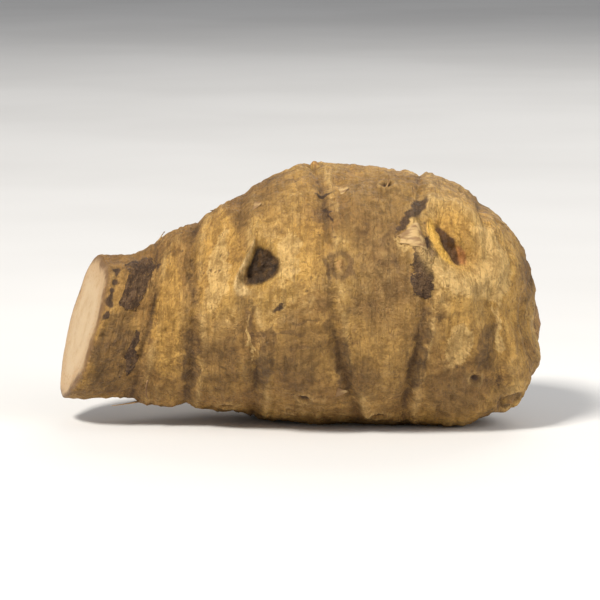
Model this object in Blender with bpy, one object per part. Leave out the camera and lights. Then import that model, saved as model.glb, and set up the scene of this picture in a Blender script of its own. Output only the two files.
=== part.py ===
"""A jerusalem artichoke tuber, lying on its side.

The tuber is a swollen underground stem that grew as one piece, so it is one solid. A round body is
turned about the X axis, from the flat cut across its neck at -X to its domed tip at +X. Its surface
is then raised and sunk by formulas for the scars of its nodes, its eyes, its side knob and its lumps,
and the whole is slanted at the cut, bent along its length and given a small flat spot to rest on.

Units are metres. +Z is up, and the origin is below the middle of the tuber, on the surface it rests on.
Angles round the body are in degrees, start at its front, the -Y side, and rise over its top.
"""

import math
from typing import NamedTuple

import bmesh
import bpy
import numpy as np

MM = 0.001

# Driving dimensions of the turned body, along X from the cut to the tip.
CUT_X = -26.4 * MM
TIP_X = 28.5 * MM
NECK_RADIUS = 8.2 * MM
BELLY_RADIUS = 15.6 * MM
NECK_END_X = -22.5 * MM  # the neck starts to widen here
BELLY_X = 3.0 * MM  # the belly is full from here
DOME_X = 8.5 * MM  # the belly starts to close to the domed tip here
DOME_FULLNESS = 2.4  # 2 is an ellipse, and more makes the dome blunter
RIM_RADIUS = 0.6 * MM  # the rounding between the cut and the skin
DEPTH_SHARE = 0.97  # front to back, as a share of the height

# The slant of the cut across the neck, and how far along the neck it fades out.
CUT_LEAN_SIDE = -0.25
CUT_LEAN_UP = 0.3
CUT_LEAN_REACH = 14.0 * MM

# The line through the middle of the body: lower at the neck and at the tip than at the belly.
NECK_DROP = 3.3 * MM
TIP_DROP = 3.4 * MM
NECK_SWING = -1.5 * MM

# The spot that it rests on: where the relief is worn away round it, and how much is flattened.
REST_X = 5.0 * MM
REST_LENGTH = 14.0 * MM
REST_WIDTH = 9.0 * MM
REST_DEPTH = 0.5 * MM

# The relief of the nodes: a scar groove with a lip beside it, and the swelling between two nodes.
GROOVE_DEPTH = 0.55 * MM
GROOVE_WIDTH = 0.55 * MM
LIP_HEIGHT = 0.34 * MM
LIP_WIDTH = 0.7 * MM
LIP_OFFSET = 1.2 * MM
SWELLING = 0.4 * MM
WEAR = 0.3  # how much a scar's depth varies round the body, as a share

# The reliefs of an eye, in radii of its socket, and its brow's height as a share of its depth.
MOUND_REACH = 2.2
BROW_REACH = 1.4
BROW_WIDTH = 0.35
BROW_SHARE = 0.4
BUD_REACH = 0.45
CHEEK_REACH = 0.9
SLIT_OFFSET = 0.24
SLIT_BEND = 0.2
SLIT_WIDTH = 0.2
SLIT_REACH = 0.72

# How finely the body is divided before it is thinned, and the faces that are left.
OUTLINE_STEPS = 80
CELLS = 112
KEPT_TRIANGLES = 10400
GATHER = 0.55  # how strongly the cells draw in towards an eye
GATHER_REACH = 1.8  # in socket radii


class Ring(NamedTuple):
    """A node's scar round the body: its place along X, and how it leans and waves."""

    x: float
    lean: float
    wave: float
    phase: float
    strength: float


class Eye(NamedTuple):
    """A bud's eye: its place, its mound and the socket sunk in it, and the bud inside.

    Taper narrows the socket upwards, cheek is the share by which its side towards the tip is
    filled, and slit is the depth of the slit behind its bud.
    """

    x: float
    angle: float
    mound: float
    socket: float
    depth: float
    bud: float
    stretch: float
    turn: float
    taper: float = 0.0
    cheek: float = 0.0
    slit: float = 0.0


class Knob(NamedTuple):
    """A side bud that has swollen into a rounded knob."""

    x: float
    angle: float
    height: float
    radius: float


class RootScar(NamedTuple):
    """A small round pock, where a thin root came out."""

    x: float
    angle: float
    radius: float


class Lump(NamedTuple):
    """A wave that winds over the body: its height, its waves round it, its pitch along X and its start."""

    height: float
    waves: int
    pitch: float
    phase: float


RINGS = (
    Ring(-18.9 * MM, 0.6 * MM, 0.35 * MM, 0.4, 0.75),
    Ring(-12.9 * MM, 0.5 * MM, 0.3 * MM, 1.9, 0.8),
    Ring(-6.2 * MM, -0.9 * MM, 0.4 * MM, 3.0, 0.9),
    Ring(4.2 * MM, -2.5 * MM, 0.5 * MM, 5.1, 1.0),
    Ring(13.6 * MM, 0.9 * MM, 0.5 * MM, 0.9, 1.1),
    Ring(22.4 * MM, -0.9 * MM, 0.55 * MM, 2.2, 0.7),
    Ring(27.0 * MM, 0.4 * MM, 0.25 * MM, 4.0, 0.5),
)

EYES = (
    Eye(-4.6 * MM, 26.0, 1.2 * MM, 2.1 * MM, 1.8 * MM, 0.4 * MM, 1.3, 8.0, 0.7),
    Eye(4.7 * MM, 20.0, 0.4 * MM, 1.4 * MM, 0.5 * MM, 0.5 * MM, 1.3, 0.0),
    Eye(17.8 * MM, 36.0, 1.3 * MM, 3.1 * MM, 1.7 * MM, 1.5 * MM, 1.25, 28.0, 0.0, 0.7, 0.6 * MM),
    Eye(1.6 * MM, 93.0, 0.8 * MM, 1.5 * MM, 0.5 * MM, 1.1 * MM, 1.2, 0.0),
    Eye(-18.2 * MM, 112.0, 0.4 * MM, 1.3 * MM, 0.6 * MM, 0.5 * MM, 1.2, 0.0),
    Eye(-11.8 * MM, 188.0, 0.9 * MM, 1.8 * MM, 1.0 * MM, 0.9 * MM, 1.2, 0.0),
    Eye(-4.6 * MM, 262.0, 0.4 * MM, 1.4 * MM, 0.6 * MM, 0.5 * MM, 1.2, 0.0),
    Eye(-5.0 * MM, 141.0, 1.2 * MM, 2.2 * MM, 1.4 * MM, 1.2 * MM, 1.2, 12.0),
    Eye(15.8 * MM, 122.0, 1.1 * MM, 2.2 * MM, 1.3 * MM, 1.2 * MM, 1.2, -20.0, 0.0, 0.3, 0.4 * MM),
    Eye(15.4 * MM, 232.0, 0.9 * MM, 2.0 * MM, 1.2 * MM, 0.9 * MM, 1.2, 15.0),
    Eye(24.2 * MM, 310.0, 0.5 * MM, 1.3 * MM, 0.6 * MM, 0.6 * MM, 1.1, 0.0),
    Eye(25.2 * MM, 148.0, 0.6 * MM, 1.4 * MM, 0.7 * MM, 0.8 * MM, 1.1, 0.0),
    Eye(6.6 * MM, 192.0, 0.0 * MM, 1.8 * MM, 0.6 * MM, 0.8 * MM, 1.1, 0.0),
)

KNOB = Knob(6.6 * MM, 192.0, 4.2 * MM, 6.0 * MM)
KNOB_SHOULDER = 3.2  # 2 is a plain swell, and more makes its sides steeper

# The slow lumps that keep the body from being truly round.
LUMPS = (
    Lump(0.45 * MM, 2, 9.0 * MM, 0.6),
    Lump(0.35 * MM, 3, -6.5 * MM, 2.1),
    Lump(0.2 * MM, 5, 4.0 * MM, 4.0),
    Lump(0.14 * MM, 4, -2.6 * MM, 1.0),
    Lump(0.12 * MM, 7, 2.2 * MM, 5.2),
    Lump(0.09 * MM, 9, -1.8 * MM, 3.3),
)

# Inside this distance from the middle of the tip, every relief dies away but that of the tip's own bud.
CALM_RADIUS = 7.0 * MM

# The bud at the tip, and the folded scales round it.
TIP_BUD_HEIGHT = 0.6 * MM
TIP_BUD_RADIUS = 1.7 * MM
TIP_FOLD_RADIUS = 3.2 * MM
TIP_FOLD_DEPTH = 0.3 * MM
TIP_FOLD_WIDTH = 0.9 * MM

ROOT_SCARS = (
    RootScar(-8.9 * MM, 300.0, 0.7 * MM),
    RootScar(0.4 * MM, 316.0, 0.6 * MM),
    RootScar(9.3 * MM, 302.0, 0.8 * MM),
    RootScar(10.2 * MM, 66.0, 0.6 * MM),
    RootScar(-9.6 * MM, 83.0, 0.6 * MM),
    RootScar(-1.2 * MM, 168.0, 0.7 * MM),
    RootScar(19.0 * MM, 186.0, 0.6 * MM),
    RootScar(-15.8 * MM, 236.0, 0.7 * MM),
    RootScar(8.8 * MM, 246.0, 0.7 * MM),
    RootScar(20.4 * MM, 330.0, 0.5 * MM),
)
ROOT_SCAR_DEPTH = 0.45 * MM
ROOT_RIM_REACH = 1.6  # in scar radii, as its width is
ROOT_RIM_WIDTH = 0.5
ROOT_RIM_SHARE = 0.4  # its height, as a share of the scar's depth

SKIN_COLOUR = (0.42, 0.26, 0.105, 1.0)
SKIN_ROUGHNESS = 0.62


def smooth_step(value, low, high):
    """Rises from 0 at low to 1 at high, level at both ends."""
    share = np.clip((value - low) / (high - low), 0.0, 1.0)
    return share * share * (3.0 - 2.0 * share)


def turned_apart(angle, centre_deg):
    """The angle in radians from a place round the body, between -pi and pi."""
    return (angle - math.radians(centre_deg) + math.pi) % (2.0 * math.pi) - math.pi


def into_dome(x):
    """How far x is into the domed tip, from 0 where the dome starts to 1 at the tip."""
    return np.clip((x - DOME_X) / (TIP_X - DOME_X), 0.0, 1.0)


def dome_share(x):
    """The share of its full radius that the domed tip keeps at x."""
    return (1.0 - into_dome(x) ** DOME_FULLNESS) ** (1.0 / DOME_FULLNESS)


def body_radius(x):
    """The turned body's radius at x, before any relief."""
    widening = smooth_step(x, NECK_END_X, BELLY_X)
    full = NECK_RADIUS + (BELLY_RADIUS - NECK_RADIUS) * widening
    return full * dome_share(x)


def outline():
    """The turned body's outline from the middle of the cut to the tip, as close (x, radius) points."""
    cut = np.linspace(0.0, NECK_RADIUS - RIM_RADIUS, OUTLINE_STEPS)
    turns = np.linspace(0.0, math.pi / 2.0, OUTLINE_STEPS)
    rim_x = CUT_X + RIM_RADIUS * (1.0 - np.cos(turns))
    rim_radius = NECK_RADIUS - RIM_RADIUS * (1.0 - np.sin(turns))
    side_x = np.linspace(CUT_X + RIM_RADIUS, DOME_X, OUTLINE_STEPS)
    dome_x = DOME_X + (TIP_X - DOME_X) * np.sin(turns)
    x = np.concatenate((np.full_like(cut, CUT_X), rim_x, side_x, dome_x))
    radius = np.concatenate((cut, rim_radius, body_radius(side_x), body_radius(dome_x)))
    return x, radius


def node_relief(x, angle):
    """The height of the scars' grooves and lips, and of the swelling between two nodes."""
    places = [
        ring.x
        + ring.lean * np.sin(angle)
        + ring.wave * np.sin(3.0 * angle + ring.phase)
        for ring in RINGS
    ]
    height = np.zeros_like(x)
    for ring, place in zip(RINGS, places, strict=True):
        apart = x - place
        groove = GROOVE_DEPTH * np.exp(-((apart / GROOVE_WIDTH) ** 2))
        lip = LIP_HEIGHT * np.exp(-(((apart - LIP_OFFSET) / LIP_WIDTH) ** 2))
        worn = 1.0 - WEAR + WEAR * np.sin(2.0 * angle + 3.0 * ring.phase)
        height += ring.strength * worn * (lip - groove)
    for before, after in zip(places[:-1], places[1:], strict=True):
        share = np.clip((x - before) / (after - before), 0.0, 1.0)
        height += SWELLING * np.sin(math.pi * share)
    on_knob = knob_relief(x, angle) / KNOB.height
    return height * (1.0 - on_knob)


def eye_relief(x, angle, eye):
    """The height of one eye: a mound, the socket sunk in it with a brow, and its bud."""
    along = x - eye.x
    round_body = body_radius(eye.x) * turned_apart(angle, eye.angle)
    turn = math.radians(eye.turn)
    upright = round_body * math.cos(turn) - along * math.sin(turn)
    upright = upright / (eye.stretch * eye.socket)
    across = along * math.cos(turn) + round_body * math.sin(turn)
    across = across / (eye.socket * (1.0 - eye.taper * np.clip(upright, -1.0, 1.0)))
    distance = np.hypot(across, upright)
    mound = eye.mound * np.exp(-((distance / MOUND_REACH) ** 2))
    filled = eye.cheek * smooth_step(across, 0.0, CHEEK_REACH)
    socket = eye.depth * (1.0 - filled) * np.exp(-(distance**4))
    brow_side = 0.5 - 0.5 * np.tanh(across)
    beside = (distance - BROW_REACH) / BROW_WIDTH
    brow = BROW_SHARE * eye.depth * brow_side * np.exp(-(beside**2))
    bud = eye.bud * np.exp(-((distance / BUD_REACH) ** 2))
    from_slit = (across + SLIT_OFFSET - SLIT_BEND * upright**2) / SLIT_WIDTH
    slit = eye.slit * np.exp(-(from_slit**2) - (upright / SLIT_REACH) ** 4)
    return mound - socket + brow + bud - slit


def knob_relief(x, angle):
    """The height of the rounded side knob."""
    along = x - KNOB.x
    round_body = body_radius(KNOB.x) * turned_apart(angle, KNOB.angle)
    distance = np.hypot(along, round_body) / KNOB.radius
    return KNOB.height * np.exp(-(distance**KNOB_SHOULDER))


def root_scar_relief(x, angle):
    """The depth of the small pocks that thin roots left, each with a low rim."""
    height = np.zeros_like(x)
    for scar in ROOT_SCARS:
        round_body = body_radius(scar.x) * turned_apart(angle, scar.angle)
        distance = np.hypot(x - scar.x, round_body) / scar.radius
        beside = (distance - ROOT_RIM_REACH) / ROOT_RIM_WIDTH
        rim = ROOT_RIM_SHARE * np.exp(-(beside**2))
        height += ROOT_SCAR_DEPTH * (rim - np.exp(-(distance**2)))
    return height


def tip_relief(x):
    """The height of the bud at the tip, with a fold round it."""
    out = body_radius(x)
    bud = TIP_BUD_HEIGHT * np.exp(-((out / TIP_BUD_RADIUS) ** 2))
    beside = (out - TIP_FOLD_RADIUS) / TIP_FOLD_WIDTH
    fold = TIP_FOLD_DEPTH * np.exp(-(beside**2))
    return np.where(x > DOME_X, bud - fold, 0.0)


def lump_relief(x, angle):
    """The height of the lumps that wind over the body."""
    height = np.zeros_like(x)
    for lump in LUMPS:
        height += lump.height * np.sin(lump.waves * angle + x / lump.pitch + lump.phase)
    return height


def worn_flat(x, angle):
    """How much the relief is worn away: 1 in the middle of the resting spot, and 0 well off it."""
    round_body = turned_apart(angle, 270.0) * BELLY_RADIUS
    return np.exp(-((round_body / REST_WIDTH) ** 2) - ((x - REST_X) / REST_LENGTH) ** 4)


def off_tip(x):
    """How far places are from the middle of the tip: 0 at it, and 1 from the calm radius outwards."""
    return smooth_step(body_radius(x), 0.0, CALM_RADIUS)


def relief(x, angle):
    """How far the surface stands out from the turned body."""
    height = node_relief(x, angle) + lump_relief(x, angle)
    height *= 1.0 - worn_flat(x, angle)
    height += knob_relief(x, angle) + root_scar_relief(x, angle)
    for eye in EYES:
        height += eye_relief(x, angle, eye)
    return height * off_tip(x) + tip_relief(x)


def drawn_to_eyes(x, angle, radius):
    """Places on the body moved closer to any eye near them, so that its cells are smaller."""
    new_x = x.copy()
    new_angle = angle.copy()
    for eye in EYES:
        apart = turned_apart(angle, eye.angle)
        distance = np.hypot(x - eye.x, radius * apart) / (GATHER_REACH * eye.socket)
        pull = GATHER * np.exp(-(distance**2)) * off_tip(x)
        new_x -= (x - eye.x) * pull
        new_angle -= apart * pull
    return new_x, new_angle


def grown(directions):
    """Points of the tuber's surface in these directions from its middle."""
    side = -directions[:, 1]
    angle = np.arctan2(directions[:, 2], side)
    way = np.arccos(np.clip(-directions[:, 0], -1.0, 1.0)) / math.pi
    line_x, line_radius = outline()
    steps = np.hypot(np.diff(line_x), np.diff(line_radius))
    passed = np.concatenate(([0.0], np.cumsum(steps)))
    x = np.interp(way, passed / passed[-1], line_x)
    radius = np.interp(way, passed / passed[-1], line_radius)
    skin_radius = np.maximum(body_radius(x), RIM_RADIUS)
    outness = np.where(x < DOME_X, radius / skin_radius, 1.0)
    drawn_x, angle = drawn_to_eyes(x, angle, radius)
    x = np.where(outness > 0.999, np.maximum(drawn_x, CUT_X + RIM_RADIUS), x)
    radius = body_radius(x) * outness
    height = relief(x, angle) * outness
    power = DOME_FULLNESS - 1.0
    along = into_dome(x) ** power / (TIP_X - DOME_X)
    outward = dome_share(x) ** power / BELLY_RADIUS
    steepness = np.hypot(along, outward)
    x = x + height * along / steepness
    radius = radius + height * outward / steepness
    return np.column_stack((x, -radius * np.cos(angle), radius * np.sin(angle)))


def bent(points):
    """The body slanted at its cut, and bent along its length."""
    x, y, z = points.T
    y = y * DEPTH_SHARE
    near_cut = 1.0 - smooth_step(x, CUT_X, CUT_X + CUT_LEAN_REACH)
    x = x + near_cut * (CUT_LEAN_SIDE * y + CUT_LEAN_UP * z)
    on_neck = 1.0 - smooth_step(x, NECK_END_X, BELLY_X)
    y = y + NECK_SWING * on_neck**2
    z = z - NECK_DROP * on_neck - TIP_DROP * into_dome(x) ** 2
    return np.column_stack((x, y, z))


def divided_ball():
    """A bmesh ball of even four-sided cells, with no pole."""
    ball = bmesh.new()
    bmesh.ops.create_cube(ball, size=2.0)
    bmesh.ops.subdivide_edges(
        ball, edges=ball.edges[:], cuts=CELLS - 1, use_grid_fill=True
    )
    for vertex in ball.verts:
        evened = [math.tan(part * math.pi / 4.0) for part in vertex.co]
        vertex.co = evened
        vertex.co.normalize()
    return ball


def surface_mesh():
    """The tuber's finely divided surface."""
    ball = divided_ball()
    mesh = bpy.data.meshes.new("tuber_surface")
    ball.to_mesh(mesh)
    ball.free()
    directions = np.empty(len(mesh.vertices) * 3)
    mesh.vertices.foreach_get("co", directions)
    points = bent(grown(directions.reshape(-1, 3)))
    mesh.vertices.foreach_set("co", points.ravel())
    return mesh


def thinned(mesh):
    """A copy of the mesh with fewer faces, most of them where the surface bends."""
    carrier = bpy.data.objects.new("tuber_surface", mesh)
    bpy.context.scene.collection.objects.link(carrier)
    thinning = carrier.modifiers.new("thin", "DECIMATE")
    thinning.ratio = KEPT_TRIANGLES / (2 * len(mesh.polygons))
    graph = bpy.context.evaluated_depsgraph_get()
    result = bpy.data.meshes.new_from_object(carrier.evaluated_get(graph))
    bpy.data.objects.remove(carrier)
    return result


def set_down(mesh):
    """Cuts the flat resting spot, and sets the tuber on it with the origin below its middle."""
    shape = bmesh.new()
    shape.from_mesh(mesh)
    floor = min(vertex.co.z for vertex in shape.verts) + REST_DEPTH
    cut = bmesh.ops.bisect_plane(
        shape,
        geom=shape.verts[:] + shape.edges[:] + shape.faces[:],
        plane_co=(0.0, 0.0, floor),
        plane_no=(0.0, 0.0, -1.0),
        clear_outer=True,
    )
    rim = [part for part in cut["geom_cut"] if isinstance(part, bmesh.types.BMEdge)]
    bmesh.ops.edgeloop_fill(shape, edges=rim)
    bmesh.ops.recalc_face_normals(shape, faces=shape.faces[:])
    across = [vertex.co.x for vertex in shape.verts]
    deep = [vertex.co.y for vertex in shape.verts]
    middle_x = (min(across) + max(across)) / 2.0
    middle_y = (min(deep) + max(deep)) / 2.0
    bmesh.ops.translate(shape, verts=shape.verts[:], vec=(-middle_x, -middle_y, -floor))
    shape.to_mesh(mesh)
    shape.free()


def skin_material():
    """The tuber's dry tan skin."""
    material = bpy.data.materials.new("tuber_skin")
    material.use_nodes = True
    shader = material.node_tree.nodes["Principled BSDF"]
    shader.inputs["Base Color"].default_value = SKIN_COLOUR
    shader.inputs["Roughness"].default_value = SKIN_ROUGHNESS
    shader.inputs["Metallic"].default_value = 0.0
    return material


def build_tuber():
    """Makes the tuber's object."""
    mesh = thinned(surface_mesh())
    mesh.name = "tuber"
    set_down(mesh)
    mesh.shade_smooth()
    mesh.materials.append(skin_material())
    tuber = bpy.data.objects.new("tuber", mesh)
    bpy.context.scene.collection.objects.link(tuber)
    return tuber


def main():
    """Clears the scene and builds the tuber."""
    for thing in list(bpy.data.objects):
        bpy.data.objects.remove(thing)
    build_tuber()


if __name__ == "__main__":
    main()
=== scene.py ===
"""The looks of a jerusalem artichoke tuber: its grown surface, its skin and flesh, and a plain studio.

The tuber's form comes from the same formulas as its solid: a body turned about the X axis, raised and
sunk for its nodes, eyes, knob and lumps, slanted at its cut neck and bent along its length. Here it is
divided much more finely, and wrinkles, folded scales and grain are added.

Sizes on the tuber are in millimetres. Finished meshes and the studio are in metres. +Z is up, and +X
runs from the cut neck to the domed tip. Angles round the body are in degrees in the tables and in
radians in arrays. They start at its front, the -Y side, and rise over its top.
"""

from __future__ import annotations

import logging
import math
from dataclasses import dataclass, field
from enum import Enum
from typing import Protocol

import bmesh
import bpy
import numpy as np
from mathutils import Color, Matrix, Vector, noise

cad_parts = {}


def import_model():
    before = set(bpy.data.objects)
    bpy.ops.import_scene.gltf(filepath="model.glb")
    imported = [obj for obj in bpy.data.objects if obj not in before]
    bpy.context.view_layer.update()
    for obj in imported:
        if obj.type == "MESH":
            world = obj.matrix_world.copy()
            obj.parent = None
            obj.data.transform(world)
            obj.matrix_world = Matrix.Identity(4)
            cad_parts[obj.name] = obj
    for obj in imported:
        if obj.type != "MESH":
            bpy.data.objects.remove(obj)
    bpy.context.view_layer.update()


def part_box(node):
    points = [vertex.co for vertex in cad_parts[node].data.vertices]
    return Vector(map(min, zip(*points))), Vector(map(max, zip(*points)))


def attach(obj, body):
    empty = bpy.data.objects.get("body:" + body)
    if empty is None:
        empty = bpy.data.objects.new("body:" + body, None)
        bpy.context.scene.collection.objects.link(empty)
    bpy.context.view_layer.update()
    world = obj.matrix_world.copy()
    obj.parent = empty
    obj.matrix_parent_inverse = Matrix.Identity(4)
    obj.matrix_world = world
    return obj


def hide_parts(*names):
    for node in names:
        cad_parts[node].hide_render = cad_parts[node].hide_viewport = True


log = logging.getLogger("tuber")

MM = 0.001
FULL_TURN = 2.0 * math.pi

# What is kept where no mark is near: a distance, and how far inside a patch the point is.
FAR = 9.0
WELL_OUTSIDE = -3.0

# How fast the finer layers of noise weaken, and how many times finer each is than the last.
NOISE_FALL = 0.8
NOISE_STEP = 2.1

# The Mix node's sockets for colours, by number, because it has others of the same names.
MIX_SHARE, MIX_UNDER, MIX_OVER, MIXED = 0, 6, 7, 2

Array = np.ndarray
Colour = tuple[float, float, float]
Number = "Value | float"


def smooth_step(value: Array, low: float, high: float) -> Array:
    """Rises smoothly from 0 at low to 1 at high, or falls where high is below low."""
    share = np.clip((value - low) / (high - low), 0.0, 1.0)
    return share * share * (3.0 - 2.0 * share)


def hump(apart: Array, width: float) -> Array:
    """A smooth hump of height 1 at 0, which has sunk to about a third at width."""
    return np.exp(-((apart / width) ** 2))


@dataclass(frozen=True)
class Hump:
    """A smooth hump: its middle, the distance at which it has sunk to about a third, its height."""

    middle: float
    width: float
    height: float = 1.0

    def at(self, value: Array) -> Array:
        """The hump's height at each number."""
        return self.height * hump(value - self.middle, self.width)


def turned_apart(angle: Array, centre: float) -> Array:
    """The ways round to angles in radians from a centre in degrees, between -pi and pi."""
    return (angle - math.radians(centre) + math.pi) % FULL_TURN - math.pi


def turned(x: Array, angle: Array, radius: Array) -> Array:
    """The points at these places along X, angles round it and distances from it, one in each row."""
    return np.column_stack((x, -radius * np.cos(angle), radius * np.sin(angle)))


class Mark(Enum):
    """The marks kept at each point of the skin, by the names that they are kept by.

    Ring to hollow tell how near the nodes' scars and their lips, the cut's rim and the root scars
    are, and how sunk the skin is. Eye to lip tell of the eyes, of their four kinds and of their
    parts. The rest are kinds of patch.
    """

    RING = "ring_apart"
    RIDGE = "ridge_apart"
    CUT_OUT = "cut_out"
    SCAR = "scar_apart"
    HOLLOW = "hollow"
    EYE = "eye_apart"
    PIT = "pit"
    PLUMP = "plump"
    CONE = "cone"
    SMALL = "small"
    CRESCENT = "crescent"
    SLIT = "slit"
    FLUSH = "flush"
    LIP = "lip"
    CORK = "cork"
    SPOT = "spot"
    CREASE = "crease"
    BAND = "band"
    STAIN = "stain"
    GOLD = "gold"
    # Pale patches: partly rubbed skin, partly a painted highlight.
    WORN_AND_HIGHLIGHT = "worn"

    def read(self, recipe: Recipe) -> Value:
        """The mark's number at each point."""
        made = recipe.node("ShaderNodeAttribute", {"attribute_name": self.value}, {})
        return Value(recipe, made.outputs["Fac"])


@dataclass(frozen=True)
class Spot:
    """A spot on the body: its place along X, and its angle round it."""

    x: float
    angle: float


@dataclass(frozen=True)
class Ring:
    """A node's scar round the body: its place along X, how it leans and waves, and its strength."""

    x: float
    lean: float
    wave: float
    phase: float
    strength: float

    def place(self, angle: Array) -> Array:
        """Where the scar lies along X at these angles."""
        return self.x + self.lean * np.sin(angle) + self.wave * np.sin(3.0 * angle + self.phase)


@dataclass(frozen=True)
class Eye(Spot):
    """A bud's eye: its mound, the socket sunk in it and that socket's depth, and the bud's height.

    Stretch is the socket's height over its width, and turn is its lean. Its kind is a pit where the
    bud broke out, a plump bud, a low cone ringed by folds, or a small bud. Taper narrows it upwards,
    cheek is the share by which its side towards the tip is filled, and slit is the depth of the slit
    behind its bud.
    """

    mound: float
    socket: float
    depth: float
    bud: float
    stretch: float
    turn: float
    kind: Mark
    taper: float = 0.0
    cheek: float = 0.0
    slit: float = 0.0


@dataclass(frozen=True)
class Knob(Spot):
    """A side bud that has swollen into a rounded knob."""

    height: float
    radius: float
    shoulder: float


@dataclass(frozen=True)
class RootScar(Spot):
    """A small round pock, where a thin root came out."""

    radius: float


@dataclass(frozen=True)
class Lump:
    """A wave that winds over the body: its height, waves round it, pitch along X and start."""

    height: float
    waves: int
    pitch: float
    phase: float

    def at(self, x: Array, angle: Array) -> Array:
        """The wave's height at these places along X and angles."""
        return self.height * np.sin(self.waves * angle + x / self.pitch + self.phase)


@dataclass(frozen=True)
class Patch(Spot):
    """A patch on the skin: its reach along X and round the body, and its lean."""

    along: float
    around: float
    lean: float = 0.0


@dataclass(frozen=True)
class Scrap(Spot):
    """A scale leaf's dry remnant: its length and width, its way from its foot, and its lift."""

    length: float
    width: float
    heading: float
    lift: float


@dataclass(frozen=True)
class Rootlet(Spot):
    """A thin dry root: its length, its way along the skin, and its rise and curl in degrees."""

    length: float
    heading: float
    rise: float
    curl: float


EYE_KINDS = (Mark.PIT, Mark.PLUMP, Mark.CONE, Mark.SMALL)
EYE_PARTS = (Mark.CRESCENT, Mark.SLIT, Mark.FLUSH, Mark.LIP)

RINGS = (
    Ring(-18.9, 0.6, 0.35, 0.4, 0.75),
    Ring(-12.9, 0.5, 0.3, 1.9, 0.8),
    Ring(-6.2, -0.9, 0.4, 3.0, 0.9),
    Ring(4.2, -2.5, 0.5, 5.1, 1.0),
    Ring(13.6, 0.9, 0.5, 0.9, 1.1),
    Ring(22.4, -0.9, 0.55, 2.2, 0.7),
    Ring(27.0, 0.4, 0.25, 4.0, 0.5),
)

EYES = (
    Eye(-4.6, 26.0, 1.2, 2.1, 1.8, 0.4, 1.3, 8.0, Mark.PIT, taper=0.7),
    Eye(4.7, 20.0, 0.4, 1.4, 0.5, 0.5, 1.3, 0.0, Mark.SMALL),
    Eye(17.8, 36.0, 1.3, 3.1, 1.7, 1.5, 1.25, 28.0, Mark.PLUMP, cheek=0.7, slit=0.6),
    Eye(1.6, 93.0, 0.8, 1.5, 0.5, 1.1, 1.2, 0.0, Mark.SMALL),
    Eye(-18.2, 112.0, 0.4, 1.3, 0.6, 0.5, 1.2, 0.0, Mark.SMALL),
    Eye(-11.8, 188.0, 0.9, 1.8, 1.0, 0.9, 1.2, 0.0, Mark.CONE),
    Eye(-4.6, 262.0, 0.4, 1.4, 0.6, 0.5, 1.2, 0.0, Mark.SMALL),
    Eye(-5.0, 141.0, 1.2, 2.2, 1.4, 1.2, 1.2, 12.0, Mark.CONE),
    Eye(15.8, 122.0, 1.1, 2.2, 1.3, 1.2, 1.2, -20.0, Mark.PLUMP, cheek=0.3, slit=0.4),
    Eye(15.4, 232.0, 0.9, 2.0, 1.2, 0.9, 1.2, 15.0, Mark.PIT),
    Eye(24.2, 310.0, 0.5, 1.3, 0.6, 0.6, 1.1, 0.0, Mark.SMALL),
    Eye(25.2, 148.0, 0.6, 1.4, 0.7, 0.8, 1.1, 0.0, Mark.SMALL),
    Eye(6.6, 192.0, 0.0, 1.8, 0.6, 0.8, 1.1, 0.0, Mark.CONE),
)

KNOB = Knob(6.6, 192.0, 4.2, 6.0, 3.2)

LUMPS = (
    Lump(0.45, 2, 9.0, 0.6),
    Lump(0.35, 3, -6.5, 2.1),
    Lump(0.2, 5, 4.0, 4.0),
    Lump(0.14, 4, -2.6, 1.0),
    Lump(0.12, 7, 2.2, 5.2),
    Lump(0.09, 9, -1.8, 3.3),
)

ROOT_SCARS = (
    RootScar(-8.9, 300.0, 0.7),
    RootScar(0.4, 316.0, 0.6),
    RootScar(9.3, 302.0, 0.8),
    RootScar(10.2, 66.0, 0.6),
    RootScar(-9.6, 83.0, 0.6),
    RootScar(-1.2, 168.0, 0.7),
    RootScar(19.0, 186.0, 0.6),
    RootScar(-15.8, 236.0, 0.7),
    RootScar(8.8, 246.0, 0.7),
    RootScar(20.4, 330.0, 0.5),
)

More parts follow.
